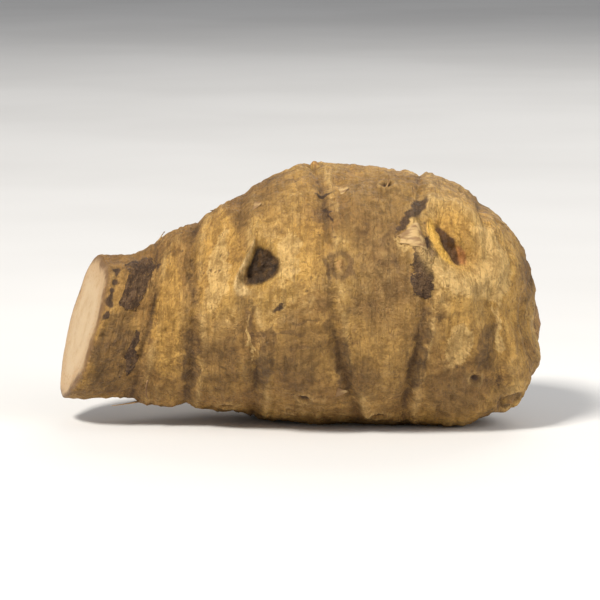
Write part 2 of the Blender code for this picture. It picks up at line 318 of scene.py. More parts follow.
PATCHES = {
    Mark.CORK: (
        Patch(-21.2, 58.0, 2.4, 2.0),
        Patch(-22.0, 38.0, 1.8, 3.0, 0.1),
        Patch(-20.7, -17.0, 0.7, 3.2, 0.1),
        Patch(14.2, 22.0, 1.35, 3.9, 0.05),
        Patch(-23.6, 205.0, 1.6, 4.2),
        Patch(13.4, 262.0, 1.2, 3.0),
    ),
    Mark.SPOT: (
        Patch(-24.9, 58.0, 0.6, 0.6),
        Patch(-25.2, 48.0, 0.55, 0.6),
        Patch(-25.4, 38.0, 0.55, 0.6),
        Patch(-25.5, 28.0, 0.6, 0.7),
        Patch(-25.5, 17.0, 0.5, 0.6),
        Patch(-18.1, 55.0, 0.5, 0.6),
        Patch(13.8, 50.0, 0.8, 1.7, 0.3),
        Patch(12.4, 42.5, 0.6, 2.8, 0.7),
        Patch(14.6, 33.0, 0.3, 1.2, 0.3),
        Patch(2.7, 60.0, 1.1, 0.35),
        Patch(3.3, 43.0, 0.26, 2.2, -0.35),
        Patch(-2.8, 3.0, 0.6, 0.35, 0.4),
        Patch(-7.2, 150.0, 1.6, 0.4),
        Patch(12.6, 146.0, 0.3, 2.0, 0.6),
        Patch(10.8, 276.0, 0.4, 1.6, -0.5),
    ),
    Mark.CREASE: (
        Patch(11.1, 22.0, 0.4, 1.2, -0.6),
        Patch(10.2, 34.0, 0.4, 2.0, 0.5),
        Patch(5.8, 20.0, 0.4, 1.5, -0.2),
        Patch(3.2, 20.0, 0.4, 1.4, 0.2),
        Patch(-5.5, 3.0, 0.6, 1.0, 0.5),
        Patch(-1.6, -8.0, 2.0, 0.35, 1.6),
        Patch(0.6, -3.0, 1.8, 0.3, 1.2),
        Patch(0.2, -14.0, 1.6, 0.3, -0.4),
    ),
    Mark.BAND: (
        Patch(-23.2, -18.0, 3.1, 6.0, -0.1),
        Patch(-13.1, -26.0, 1.1, 5.6, 0.04),
        Patch(-4.1, -20.0, 1.2, 4.6, 0.1),
        Patch(5.0, -24.0, 1.1, 4.4, -0.12),
        Patch(13.9, -18.0, 0.9, 6.6, 0.12),
        Patch(21.7, -14.0, 1.3, 3.4, 0.25),
        Patch(-13.4, 120.0, 1.0, 6.0, 0.1),
        Patch(3.2, 132.0, 1.2, 7.0, -0.15),
        Patch(13.2, 168.0, 1.1, 7.0, 0.1),
        Patch(-5.8, 222.0, 1.2, 6.0, 0.1),
        Patch(22.4, 215.0, 1.3, 5.0, -0.1),
    ),
    Mark.STAIN: (
        Patch(-7.0, 56.0, 1.3, 2.0),
        Patch(9.1, 56.0, 5.0, 7.4),
        Patch(-4.5, 76.0, 3.0, 5.5),
        Patch(7.4, -30.0, 2.0, 3.4),
        Patch(9.2, 12.0, 3.9, 5.6),
        Patch(9.0, 32.0, 3.2, 3.8),
        Patch(-0.2, -18.0, 3.2, 5.0),
        Patch(-9.4, -24.0, 2.2, 4.5),
        Patch(18.0, -40.0, 3.0, 4.0),
        Patch(-9.0, 165.0, 3.2, 6.0),
        Patch(9.5, 150.0, 3.4, 5.0),
        Patch(1.0, 250.0, 5.0, 7.0),
        Patch(19.0, 230.0, 3.4, 6.0),
    ),
    Mark.GOLD: (
        Patch(-9.6, 37.0, 3.0, 6.0),
        Patch(0.4, 27.0, 2.6, 4.2),
        Patch(19.8, 48.0, 3.8, 6.5),
        Patch(24.6, 12.0, 3.6, 8.0),
        Patch(-16.2, 12.0, 2.0, 8.0),
        Patch(18.6, -6.0, 2.4, 4.0),
        Patch(-1.0, 110.0, 3.6, 5.0),
        Patch(18.0, 150.0, 3.4, 6.0),
        Patch(-10.0, 205.0, 3.0, 5.0),
    ),
    # Pale patches: partly rubbed skin, partly a painted highlight. The thin line at -6.0 is a painted
    # reflection.
    Mark.WORN_AND_HIGHLIGHT: (
        Patch(-9.8, 30.0, 1.4, 4.4, 0.1),
        Patch(12.5, 31.0, 1.5, 1.5, 0.4),
        Patch(-6.0, -10.0, 0.35, 3.0, -0.1),
        Patch(18.2, 20.0, 3.8, 2.5, 0.2),
        Patch(21.9, 33.0, 2.4, 4.4, -0.2),
        Patch(18.4, -13.0, 1.6, 2.8, 0.1),
        Patch(23.3, -2.0, 0.35, 3.2),
        Patch(-1.4, 26.0, 1.5, 3.0),
        Patch(-2.0, 140.0, 1.4, 3.0),
        Patch(19.6, 120.0, 2.0, 2.4),
    ),
}

SCRAPS = (
    Scrap(14.2, 34.0, 2.8, 3.4, 196.0, 0.12),
    Scrap(4.6, 62.0, 1.1, 1.8, 10.0, 0.2),
    Scrap(-5.6, 60.0, 1.0, 1.6, -8.0, 0.15),
    Scrap(-18.4, 92.0, 1.2, 1.6, 5.0, 0.3),
    Scrap(13.9, 104.0, 1.5, 2.2, 170.0, 0.25),
    Scrap(-12.4, 176.0, 1.4, 1.8, 12.0, 0.25),
    Scrap(-5.8, 158.0, 1.2, 1.6, 4.0, 0.2),
    Scrap(14.0, 250.0, 1.4, 1.8, -15.0, 0.2),
    Scrap(22.9, 74.0, 1.2, 1.5, 8.0, 0.2),
    Scrap(4.2, 322.0, 1.1, 1.5, -6.0, 0.2),
)

ROOTLETS = (
    Rootlet(-8.9, 300.0, 3.4, 200.0, 24.0, 50.0),
    Rootlet(0.4, 316.0, 2.2, 160.0, 30.0, -70.0),
    Rootlet(-15.8, 236.0, 4.6, 150.0, 22.0, 60.0),
    Rootlet(-18.6, 292.0, 3.8, 190.0, 28.0, -45.0),
    Rootlet(-18.2, 318.0, 2.6, 230.0, 34.0, 60.0),
    Rootlet(-12.6, 268.0, 3.0, 170.0, 20.0, 40.0),
    Rootlet(-1.2, 168.0, 3.6, 100.0, 30.0, -60.0),
    Rootlet(-9.6, 83.0, 2.4, 200.0, 26.0, 70.0),
    Rootlet(10.2, 66.0, 1.8, 30.0, 36.0, 60.0),
    Rootlet(19.0, 186.0, 2.8, 60.0, 28.0, 55.0),
    Rootlet(-18.8, 150.0, 3.2, 170.0, 30.0, -50.0),
    Rootlet(-12.8, 205.0, 2.6, 120.0, 28.0, 65.0),
    Rootlet(8.8, 246.0, 2.0, 250.0, 20.0, 40.0),
)


@dataclass(frozen=True)
class Places:
    """Places on the turned body: along X, round it, and how far out on its cut they lie.

    Outness runs from 0 in the middle of the cut to 1 at its rim, and is 1 all over the skin.
    """

    x: Array
    angle: Array
    outness: Array | float = 1.0


@dataclass(frozen=True)
class BodyShape:
    """The turned body, and how it is slanted and bent."""

    cut_x: float = -26.4
    tip_x: float = 28.5
    neck_radius: float = 8.2
    belly_radius: float = 15.6
    neck_end_x: float = -22.5
    belly_x: float = 3.0
    dome_x: float = 8.5
    dome_fullness: float = 2.4
    rim_radius: float = 0.6
    depth_share: float = 0.97
    cut_lean_side: float = -0.25
    cut_lean_up: float = 0.3
    cut_lean_reach: float = 14.0
    neck_drop: float = 3.3
    tip_drop: float = 3.4
    neck_swing: float = -1.5
    outline_steps: int = 80

    def into_dome(self, x: Array) -> Array:
        """How far x is into the domed tip, from 0 where it starts to 1 at the tip."""
        return np.clip((x - self.dome_x) / (self.tip_x - self.dome_x), 0.0, 1.0)

    def dome_share(self, x: Array) -> Array:
        """The share of its full radius that the domed tip keeps at x."""
        return (1.0 - self.into_dome(x) ** self.dome_fullness) ** (1.0 / self.dome_fullness)

    def radius(self, x: Array) -> Array:
        """The turned body's radius at x, before any relief."""
        belly = smooth_step(x, self.neck_end_x, self.belly_x)
        return (self.neck_radius + (self.belly_radius - self.neck_radius) * belly) * self.dome_share(x)

    def apart(self, at: Places, spot: Spot) -> tuple[Array, Array]:
        """The ways from a spot to places: along X, and round the body."""
        return at.x - spot.x, self.radius(spot.x) * turned_apart(at.angle, spot.angle)

    def distance(self, at: Places, spot: Spot) -> Array:
        """The distance over the body from a spot to places."""
        return np.hypot(*self.apart(at, spot))

    def unrolled(self, at: Places) -> Array:
        """The points of the plain turned body, one in each row."""
        return turned(at.x, at.angle, self.radius(at.x) * at.outness)

    def outline(self) -> tuple[Array, Array]:
        """The body's outline from the middle of the cut to the tip.

        Returns:
            The places along X, and the radius at each.
        """
        cut = np.linspace(0.0, self.neck_radius - self.rim_radius, self.outline_steps)
        turns = np.linspace(0.0, math.pi / 2.0, self.outline_steps)
        rim_x = self.cut_x + self.rim_radius * (1.0 - np.cos(turns))
        rim_radius = self.neck_radius - self.rim_radius * (1.0 - np.sin(turns))
        side = np.linspace(self.cut_x + self.rim_radius, self.dome_x, self.outline_steps)
        dome = self.dome_x + (self.tip_x - self.dome_x) * np.sin(turns)
        x = np.concatenate((np.full_like(cut, self.cut_x), rim_x, side, dome))
        return x, np.concatenate((cut, rim_radius, self.radius(side), self.radius(dome)))

    def outward(self, x: Array) -> tuple[Array, Array]:
        """The turned body's outward direction.

        Args:
            x: Places along X.

        Returns:
            Its part along X, and its part away from the axis.
        """
        power = self.dome_fullness - 1.0
        along = self.into_dome(x) ** power / (self.tip_x - self.dome_x)
        away = self.dome_share(x) ** power / self.belly_radius
        steepness = np.hypot(along, away)
        return along / steepness, away / steepness

    def bent(self, points: Array) -> Array:
        """The points slanted at the cut, and bent along the body's length.

        Args:
            points: Points of the straight body, one in each row.

        Returns:
            The points of the grown body.
        """
        x, y, z = points.T
        y = y * self.depth_share
        near_cut = 1.0 - smooth_step(x, self.cut_x, self.cut_x + self.cut_lean_reach)
        x = x + near_cut * (self.cut_lean_side * y + self.cut_lean_up * z)
        on_neck = 1.0 - smooth_step(x, self.neck_end_x, self.belly_x)
        y = y + self.neck_swing * on_neck**2
        z = z - self.neck_drop * on_neck - self.tip_drop * self.into_dome(x) ** 2
        return np.column_stack((x, y, z))

    def raised(self, at: Places, height: Array) -> Array:
        """The grown surface's points.

        Args:
            at: The places on the turned body.
            height: How far the surface stands out at each.

        Returns:
            The points, one in each row.
        """
        along, away = self.outward(at.x)
        radius = self.radius(at.x) * at.outness + height * away
        return self.bent(turned(at.x + height * along, at.angle, radius))


@dataclass(frozen=True)
class InEye:
    """Places as an eye has them: the way across it and up it, both in its socket's radii."""

    across: Array
    upright: Array

    @property
    def distance(self) -> Array:
        """The distance from the eye's middle."""
        return np.hypot(self.across, self.upright)


@dataclass(frozen=True)
class Bow:
    """A bowed stripe in an eye, beside its bud, in radii of its socket."""

    offset: float
    bend: float
    width: float
    middle: float
    reach: float

    def share(self, seen: InEye) -> Array:
        """How much each place is on the stripe."""
        ends = np.exp(-(((seen.upright - self.middle) / self.reach) ** 4))
        return hump(seen.across + self.offset - self.bend * seen.upright**2, self.width) * ends


SLIT = Bow(offset=0.24, bend=0.2, width=0.2, middle=0.0, reach=0.72)
OUTER_SCALE = Bow(offset=0.66, bend=0.3, width=0.2, middle=0.1, reach=0.8)


@dataclass(frozen=True)
class Relief:
    """How far the grown surface stands out from the turned body."""

    body: BodyShape = BodyShape()
    groove: Hump = Hump(0.0, 0.55, 0.55)
    lip: Hump = Hump(1.2, 0.7, 0.34)
    swelling: float = 0.4
    wear: float = 0.3
    mound_reach: float = 2.2
    brow: Hump = Hump(1.4, 0.35, 0.4)
    bud_reach: float = 0.45
    cheek_reach: float = 0.9
    root_scar_depth: float = 0.45
    root_rim: Hump = Hump(1.6, 0.5, 0.4)
    tip_bud: Hump = Hump(0.0, 1.7, 0.6)
    tip_fold: Hump = Hump(3.2, 0.9, 0.3)
    calm_radius: float = 7.0
    resting_spot: Spot = Spot(5.0, 270.0)
    rest_length: float = 14.0
    rest_width: float = 9.0

    def in_eye(self, at: Places, eye: Eye) -> InEye:
        """Where places lie in an eye.

        Args:
            at: The places.
            eye: The eye.

        Returns:
            The way across it towards the tip, and the way up it.
        """
        along, around = self.body.apart(at, eye)
        turn = math.radians(eye.turn)
        across = along * math.cos(turn) + around * math.sin(turn)
        upright = around * math.cos(turn) - along * math.sin(turn)
        upright = upright / (eye.stretch * eye.socket)
        narrowing = 1.0 - eye.taper * np.clip(upright, -1.0, 1.0)
        return InEye(across / (eye.socket * narrowing), upright)

    def nodes(self, at: Places, waver: Array | float, kept: Array | float) -> Array:
        """The height of the nodes' scars, and of the swelling between each two.

        Args:
            at: The places.
            waver: How far the scars wander along X at each place.
            kept: The share of the scars that has not healed over at each place.

        Returns:
            The height at each place.
        """
        scars = [ring.place(at.angle) for ring in RINGS]
        height = np.zeros_like(at.x)
        for ring, scar in zip(RINGS, scars, strict=True):
            apart = at.x - scar + waver
            worn = 1.0 - self.wear + self.wear * np.sin(2.0 * at.angle + 3.0 * ring.phase)
            height += ring.strength * worn * kept * (self.lip.at(apart) - self.groove.at(apart))
        for before, after in zip(scars[:-1], scars[1:], strict=True):
            share = np.clip((at.x - before) / (after - before), 0.0, 1.0)
            height += self.swelling * np.sin(math.pi * share)
        return height * (1.0 - self.knob(at) / KNOB.height)

    def eye(self, at: Places, eye: Eye) -> Array:
        """The height of one eye: a mound, the socket sunk in it with a brow, and its bud.

        Args:
            at: The places.
            eye: The eye.

        Returns:
            The height at each place.
        """
        seen = self.in_eye(at, eye)
        filled = eye.cheek * smooth_step(seen.across, 0.0, self.cheek_reach)
        socket = eye.depth * (1.0 - filled) * np.exp(-(seen.distance**4))
        brow_side = 0.5 - 0.5 * np.tanh(seen.across)
        brow = eye.depth * brow_side * self.brow.at(seen.distance)
        bud = eye.bud * hump(seen.distance, self.bud_reach)
        mound = eye.mound * hump(seen.distance, self.mound_reach)
        return mound - socket + brow + bud - eye.slit * SLIT.share(seen)

    def knob(self, at: Places) -> Array:
        """The height of the rounded side knob."""
        distance = self.body.distance(at, KNOB) / KNOB.radius
        return KNOB.height * np.exp(-(distance**KNOB.shoulder))

    def root_scar(self, at: Places, scar: RootScar) -> Array:
        """The height of one small pock that a thin root left, with its low rim."""
        distance = self.body.distance(at, scar) / scar.radius
        return self.root_scar_depth * (self.root_rim.at(distance) - hump(distance, 1.0))

    def tip(self, x: Array) -> Array:
        """The height of the bud at the tip, with a fold round it."""
        out = self.body.radius(x)
        return np.where(x > self.body.dome_x, self.tip_bud.at(out) - self.tip_fold.at(out), 0.0)

    def lumps(self, at: Places) -> Array:
        """The height of the lumps that wind over the body."""
        return sum(lump.at(at.x, at.angle) for lump in LUMPS)

    def off_tip(self, x: Array) -> Array:
        """How far places are from the tip's middle: 0 at it, and 1 from the calm radius outwards."""
        return smooth_step(self.body.radius(x), 0.0, self.calm_radius)

    def unworn(self, at: Places) -> Array:
        """How much of the relief is left, from none in the middle of the resting spot to 1."""
        along, around = self.body.apart(at, self.resting_spot)
        return 1.0 - hump(around, self.rest_width) * np.exp(-((along / self.rest_length) ** 4))

    def main(self, at: Places, waver: Array | float = 0.0, kept: Array | float = 1.0) -> Array:
        """The height of every main form.

        Args:
            at: The places.
            waver: How far the nodes' scars wander along X at each place.
            kept: The share of the scars that has not healed over at each place.

        Returns:
            The height at each place.
        """
        height = (self.nodes(at, waver, kept) + self.lumps(at)) * self.unworn(at) + self.knob(at)
        height += sum(self.root_scar(at, scar) for scar in ROOT_SCARS)
        height += sum(self.eye(at, eye) for eye in EYES)
        return height * self.off_tip(at.x) + self.tip(at.x)


@dataclass(frozen=True)
class Layer:
    """A layer of even noise: its height, its swells' size, its finer layers, and where it is read."""

    height: float
    size: float | tuple[float, float, float]
    layers: int
    start: float = 0.0

    def at(self, points: Array) -> Array:
        """Reads the noise, which runs between about minus and plus its height.

        Args:
            points: Where it is read, one point in each row.

        Returns:
            The noise at each point.
        """
        places = [Vector(point) for point in points / self.size + self.start]
        layers = (NOISE_FALL, NOISE_STEP, self.layers)
        return self.height * np.array([noise.fractal(place, *layers) for place in places])


@dataclass(frozen=True)
class Grain:
    """The fine relief of the skin and of the cut flesh."""

    waver: Layer = Layer(0.35, 2.4, 3)
    healed: Layer = Layer(0.9, 5.0, 2, 17.0)
    healed_most: float = 0.55
    warp_along: Layer = Layer(0.7, 1.6, 3, 71.0)
    warp_around: Layer = Layer(0.7, 1.6, 3, 97.0)
    warp_radius: float = 1.6
    wrinkles: Layer = Layer(0.17, (0.55, 4.5, 4.5), 2)
    puckers: Layer = Layer(0.15, 1.3, 3, 7.0)
    flecks: Layer = Layer(0.035, 0.45, 2, 31.0)
    dents: Layer = Layer(0.22, 4.5, 2, 53.0)
    pit: Layer = Layer(0.4, 0.7, 2)
    fold_height: float = 0.14
    folds: float = 2.1
    fold_skew: float = 0.12
    creases: int = 5
    crease_turn: float = 0.001
    crease: Hump = Hump(0.4, 0.25, 0.12)
    full_socket: float = 2.5
    scale_height: float = 0.35
    lip_height: float = 0.16
    lip_round: Hump = Hump(1.14, 0.2)
    lip_side: tuple[float, float] = (0.2, 0.8)
    flush_across: Hump = Hump(0.06, 0.26)
    flush_up: Hump = Hump(-0.42, 0.32)
    knife_height: float = 0.03
    knife_pitch: float = 0.9
    knife_slant: float = 0.4
    knife_waver: Layer = Layer(2.0, 4.0, 2)

    def kept(self, points: Array) -> Array:
        """The share of the nodes' scars that has not healed over at each point."""
        return 1.0 - self.healed_most * np.clip(0.5 + self.healed.at(points), 0.0, 1.0)

    def warped(self, at: Places, body: BodyShape) -> Places:
        """Places moved about a little, so that what is read there has ragged edges.

        Args:
            at: The places.
            body: The turned body that they are on.

        Returns:
            The moved places.
        """
        points = body.unrolled(at)
        radius = np.maximum(body.radius(at.x) * at.outness, self.warp_radius)
        angle = at.angle + self.warp_around.at(points) / radius
        return Places(at.x + self.warp_along.at(points), angle, at.outness)

    def skin(self, points: Array) -> Array:
        """The height of the skin's wrinkles, puckers, flecks and dents at each point."""
        return sum(layer.at(points) for layer in (self.wrinkles, self.puckers, self.flecks, self.dents))

    def flush(self, seen: InEye) -> Array:
        """How much each place is on the flushed foot of a plump bud."""
        return self.flush_across.at(seen.across) * self.flush_up.at(seen.upright)

    def lip(self, seen: InEye) -> Array:
        """How much each place is on the raised lip beside a broken bud's pit."""
        return smooth_step(-seen.across, *self.lip_side) * self.lip_round.at(seen.distance)

    def folded_scales(self, seen: InEye, eye: Eye) -> Array:
        """The folds round a bud, the creases over it, and its outer scale or its pit's lip.

        Args:
            seen: The places in the eye.
            eye: The eye.

        Returns:
            The height at each place.
        """
        way_round = np.arctan2(seen.upright, seen.across)
        skewed = seen.distance + self.fold_skew * np.sin(2.0 * way_round + eye.angle)
        folds = np.cos(FULL_TURN * self.folds * skewed) * hump(seen.distance, 1.0)
        creased = np.abs(np.sin(0.5 * self.creases * way_round + self.crease_turn * eye.x))
        size = min(eye.socket / self.full_socket, 1.0)
        height = size * (self.fold_height * folds - self.crease.at(seen.distance) * creased)
        if eye.kind is Mark.PLUMP:
            height += size * self.scale_height * OUTER_SCALE.share(seen)
        if eye.kind is Mark.PIT:
            height += self.lip_height * self.lip(seen)
        return height

    def flesh(self, points: Array) -> Array:
        """The height of the knife's marks on the cut at each point."""
        strokes = (points[:, 2] + self.knife_slant * points[:, 1]) / self.knife_pitch
        return self.knife_height * np.sin(strokes + self.knife_waver.at(points))


def add_object(name: str, data: bpy.types.ID | None) -> bpy.types.Object:
    """Adds an object to the scene.

    Args:
        name: Its name.
        data: Its mesh, light or camera.

    Returns:
        The object.
    """
    made = bpy.data.objects.new(name, data)
    bpy.context.scene.collection.objects.link(made)
    return made


def as_mesh(name: str, shape: bmesh.types.BMesh) -> bpy.types.Mesh:
    """Turns a shape into a mesh, and frees it.

    Args:
        name: The mesh's name.
        shape: The shape.

    Returns:
        The mesh.
    """
    mesh = bpy.data.meshes.new(name)
    shape.to_mesh(mesh)
    shape.free()
    return mesh


def add_piece(name: str, shape: bmesh.types.BMesh, finish: bpy.types.Material) -> bpy.types.Object:
    """Adds a piece that rides on the root body.

    Args:
        name: Its name.
        shape: Its shape, in millimetres.
        finish: Its material.

    Returns:
        The piece.
    """
    bmesh.ops.scale(shape, verts=shape.verts[:], vec=(MM, MM, MM))
    mesh = as_mesh(name, shape)
    mesh.materials.append(finish)
    mesh.shade_smooth()
    piece = add_object(name, mesh)
    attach(piece, "root")
    return piece


@dataclass
class Tuber:
    """The tuber's finely divided surface, with what its skin needs to know at each point."""

    body: BodyShape = field(default_factory=BodyShape)
    relief: Relief = field(default_factory=Relief)
    grain: Grain = field(default_factory=Grain)
    cells: int = 128
    gather: float = 0.55
    gather_reach: float = 1.8
    on_skin: float = 0.999
    skin_start: float = 0.9
    flesh_edge: tuple[float, float] = (0.99, 0.95)
    tip_mark_reach: float = 1.6
    rest_depth: float = 0.5
    shift: Array = field(default_factory=lambda: np.zeros(3))

    def ball(self) -> bpy.types.Mesh:
        """A ball of even four-sided cells, with no pole.

        Returns:
            The ball's mesh, of radius 1.
        """
        ball = bmesh.new()
        bmesh.ops.create_cube(ball, size=2.0)
        cuts = self.cells - 1
        bmesh.ops.subdivide_edges(ball, edges=ball.edges[:], cuts=cuts, use_grid_fill=True)
        for vertex in ball.verts:
            vertex.co = [math.tan(part * math.pi / 4.0) for part in vertex.co]
            vertex.co.normalize()
        return as_mesh("tuber_skin", ball)

    def places(self, directions: Array) -> Places:
        """The places on the turned body that lie in these directions.

        Args:
            directions: Directions from the body's middle, one in each row.

        Returns:
            The places, drawn in towards the eyes so that the cells there are smaller.
        """
        angle = np.arctan2(directions[:, 2], -directions[:, 1])
        way = np.arccos(np.clip(-directions[:, 0], -1.0, 1.0)) / math.pi
        line_x, line_radius = self.body.outline()
        steps = np.hypot(np.diff(line_x), np.diff(line_radius))
        passed = np.concatenate(([0.0], np.cumsum(steps)))
        x = np.interp(way, passed / passed[-1], line_x)
        radius = np.interp(way, passed / passed[-1], line_radius)
        skin_radius = np.maximum(self.body.radius(x), self.body.rim_radius)
        outness = np.where(x < self.body.dome_x, radius / skin_radius, 1.0)
        drawn = self.drawn_to_eyes(Places(x, angle), radius)
        side_x = np.maximum(drawn.x, self.body.cut_x + self.body.rim_radius)
        return Places(np.where(outness > self.on_skin, side_x, x), drawn.angle, outness)

    def drawn_to_eyes(self, at: Places, radius: Array) -> Places:
        """Places moved closer to any eye near them.

        Args:
            at: The places.
            radius: The body's radius at each.

        Returns:
            The moved places.
        """
        x = at.x.copy()
        angle = at.angle.copy()
        for eye in EYES:
            apart = turned_apart(at.angle, eye.angle)
            distance = np.hypot(at.x - eye.x, radius * apart)
            pull = self.gather * hump(distance, self.gather_reach * eye.socket)
            pull *= self.relief.off_tip(at.x)
            x -= (at.x - eye.x) * pull
            angle -= apart * pull
        return Places(x, angle)

    def fine_height(self, at: Places) -> Array:
        """The height of the surface with its folds and grain.

        Args:
            at: The places on the turned body.

        Returns:
            The height at each place.
        """
        plain = self.body.unrolled(at)
        waver = self.grain.waver.at(plain) * self.relief.unworn(at)
        height = self.relief.main(at, waver, self.grain.kept(plain))
        pit = np.zeros_like(height)
        for eye in EYES:
            seen = self.relief.in_eye(at, eye)
            height += self.grain.folded_scales(seen, eye)
            if eye.kind is Mark.PIT:
                pit += hump(seen.distance, 1.0)
        height += self.grain.skin(plain) * smooth_step(at.outness, self.skin_start, 1.0)
        height += pit * self.grain.pit.at(plain)
        return height * at.outness

    def way_down(self, points: Array) -> Array:
        """The move that sets the surface on the floor, in the middle of the solid's box.

        Args:
            points: The surface's points without its grain.

        Returns:
            The move along each axis.
        """
        low, high = (np.array(corner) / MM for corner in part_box("tuber"))
        move = (low + high - points.min(axis=0) - points.max(axis=0)) / 2.0
        move[2] = -(points[:, 2].min() + self.rest_depth)
        return move

    def skin_point(self, x: Array, angle: Array) -> Array:
        """The points of the skin in place, one in each row."""
        at = Places(x, angle)
        return self.body.raised(at, self.fine_height(at)) + self.shift

    def skin_ways(self, at: Places, spot: Spot, step: float) -> tuple[Array, Array, Array]:
        """Points of the skin, with the ways over it from each.

        Args:
            at: The places.
            spot: The spot that they are near.
            step: The distance over which the ways are read.

        Returns:
            The points, the way towards the tip from each, and the way round the body.
        """
        skin = self.skin_point(at.x, at.angle)
        ahead = self.skin_point(at.x + step, at.angle)
        beside = self.skin_point(at.x, at.angle + step / self.body.radius(spot.x))
        return skin, ahead - skin, beside - skin

    def build(self) -> bpy.types.Object:
        """Makes the tuber's surface.

        Returns:
            Its object, riding on the root body in place of the solid.
        """
        mesh = self.ball()
        directions = np.empty(len(mesh.vertices) * 3)
        mesh.vertices.foreach_get("co", directions)
        at = self.places(directions.reshape(-1, 3))
        fine = self.fine_height(at)
        points = self.body.raised(at, fine)
        cut = smooth_step(at.outness, *self.flesh_edge)
        points[:, 0] -= self.grain.flesh(self.body.unrolled(at)) * cut
        self.shift = self.way_down(self.body.raised(at, self.relief.main(at) * at.outness))
        points += self.shift
        points[:, 2] = np.maximum(points[:, 2], 0.0)
        mesh.vertices.foreach_set("co", (points * MM).ravel())
        self.mark(mesh, at, fine)
        mesh.materials.append(SkinFinish().make())
        mesh.shade_smooth()
        mesh.update()
        tuber = add_object("tuber_surface", mesh)
        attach(tuber, "root")
        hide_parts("tuber")
        return tuber

    def mark(self, mesh: bpy.types.Mesh, at: Places, fine: Array) -> None:
        """Stores what the skin's material reads at each point.

        Args:
            mesh: The surface's mesh.
            at: Its places on the turned body.
            fine: The height of the surface at each.
        """
        plain = self.body.unrolled(at)
        mesh.attributes.new("grown", "FLOAT_VECTOR", "POINT").data.foreach_set("vector", plain.ravel())
        waver = self.grain.waver.at(plain)
        warped = self.grain.warped(at, self.body)
        marks = {
            Mark.RING: self.ring_apart(at, waver),
            Mark.RIDGE: self.ring_apart(at, waver - self.relief.lip.middle),
            Mark.CUT_OUT: self.cut_out(at),
            Mark.SCAR: self.scar_apart(at),
            Mark.HOLLOW: self.hollow(at, fine),
        }
        marks |= self.eye_marks(at)
        marks |= {kind: self.patch_field(patches, warped) for kind, patches in PATCHES.items()}
        for mark, values in marks.items():
            mesh.attributes.new(mark.value, "FLOAT", "POINT").data.foreach_set("value", values)

    @staticmethod
    def ring_apart(at: Places, moved: Array) -> Array:
        """The distance along X from the nearest node's scar, once it has been moved."""
        return np.min([np.abs(at.x - ring.place(at.angle) + moved) for ring in RINGS], axis=0)

    def cut_out(self, at: Places) -> Array:
        """How far out on the cut, from 0 to 1 at its rim, and past 1 the way from it in mm."""
        return at.outness + np.maximum(at.x - self.body.cut_x - self.body.rim_radius, 0.0)

    def scar_apart(self, at: Places) -> Array:
        """The distance to the nearest root scar, in its own radii."""
        gaps = [self.body.distance(at, scar) / scar.radius for scar in ROOT_SCARS]
        return np.minimum(np.min(gaps, axis=0), FAR)

    def hollow(self, at: Places, fine: Array) -> Array:
        """How sunk each place is below the swellings round it.

        Args:
            at: The places.
            fine: The height of the surface at each.

        Returns:
            The depth at each place, and 0 on the cut.
        """
        broad = self.relief.lumps(at) + self.relief.knob(at)
        broad += self.relief.swelling * self.relief.unworn(at)
        sunk = broad * self.relief.off_tip(at.x) - fine
        return np.where(at.outness > self.on_skin, sunk, 0.0)

    def eye_marks(self, at: Places) -> dict[Mark, Array]:
        """What the skin shows round the eyes.

        Args:
            at: The places.

        Returns:
            The distance to the nearest eye in its socket's radii, and how much each place is in
            each kind of eye, on a plump bud's outer scale, in the slit behind it, on its flushed
            foot, and on the lip of a broken bud's pit.
        """
        marks = {mark: np.zeros_like(at.x) for mark in (*EYE_KINDS, *EYE_PARTS)}
        tip = self.body.radius(at.x) / self.relief.tip_bud.width / self.tip_mark_reach
        apart = np.where(at.x > self.body.dome_x, tip, FAR)
        marks[Mark.CONE] = hump(apart, 1.0)
        for eye in EYES:
            seen = self.relief.in_eye(at, eye)
            apart = np.minimum(apart, seen.distance)
            found = {eye.kind: hump(seen.distance, 1.0)}
            if eye.kind is Mark.PLUMP:
                found[Mark.CRESCENT] = OUTER_SCALE.share(seen)
                found[Mark.SLIT] = SLIT.share(seen)
                found[Mark.FLUSH] = self.grain.flush(seen)
            if eye.kind is Mark.PIT:
                found[Mark.LIP] = self.grain.lip(seen)
            for mark, share in found.items():
                marks[mark] = np.maximum(marks[mark], share)
        return {Mark.EYE: apart, **marks}

    def patch_field(self, patches: tuple[Patch, ...], at: Places) -> Array:
        """How far inside the patches of one kind each place is.

        Args:
            patches: The patches.
            at: The places.

        Returns:
            A number that is 1 in the middle of a patch, 0 at its edge, and less outside.
        """
        inside = np.full_like(at.x, WELL_OUTSIDE)
        for patch in patches:
            along, around = self.body.apart(at, patch)
            spread = ((along - patch.lean * around) / patch.along) ** 2
            spread += (around / patch.around) ** 2
            inside = np.maximum(inside, 1.0 - spread)
        return inside


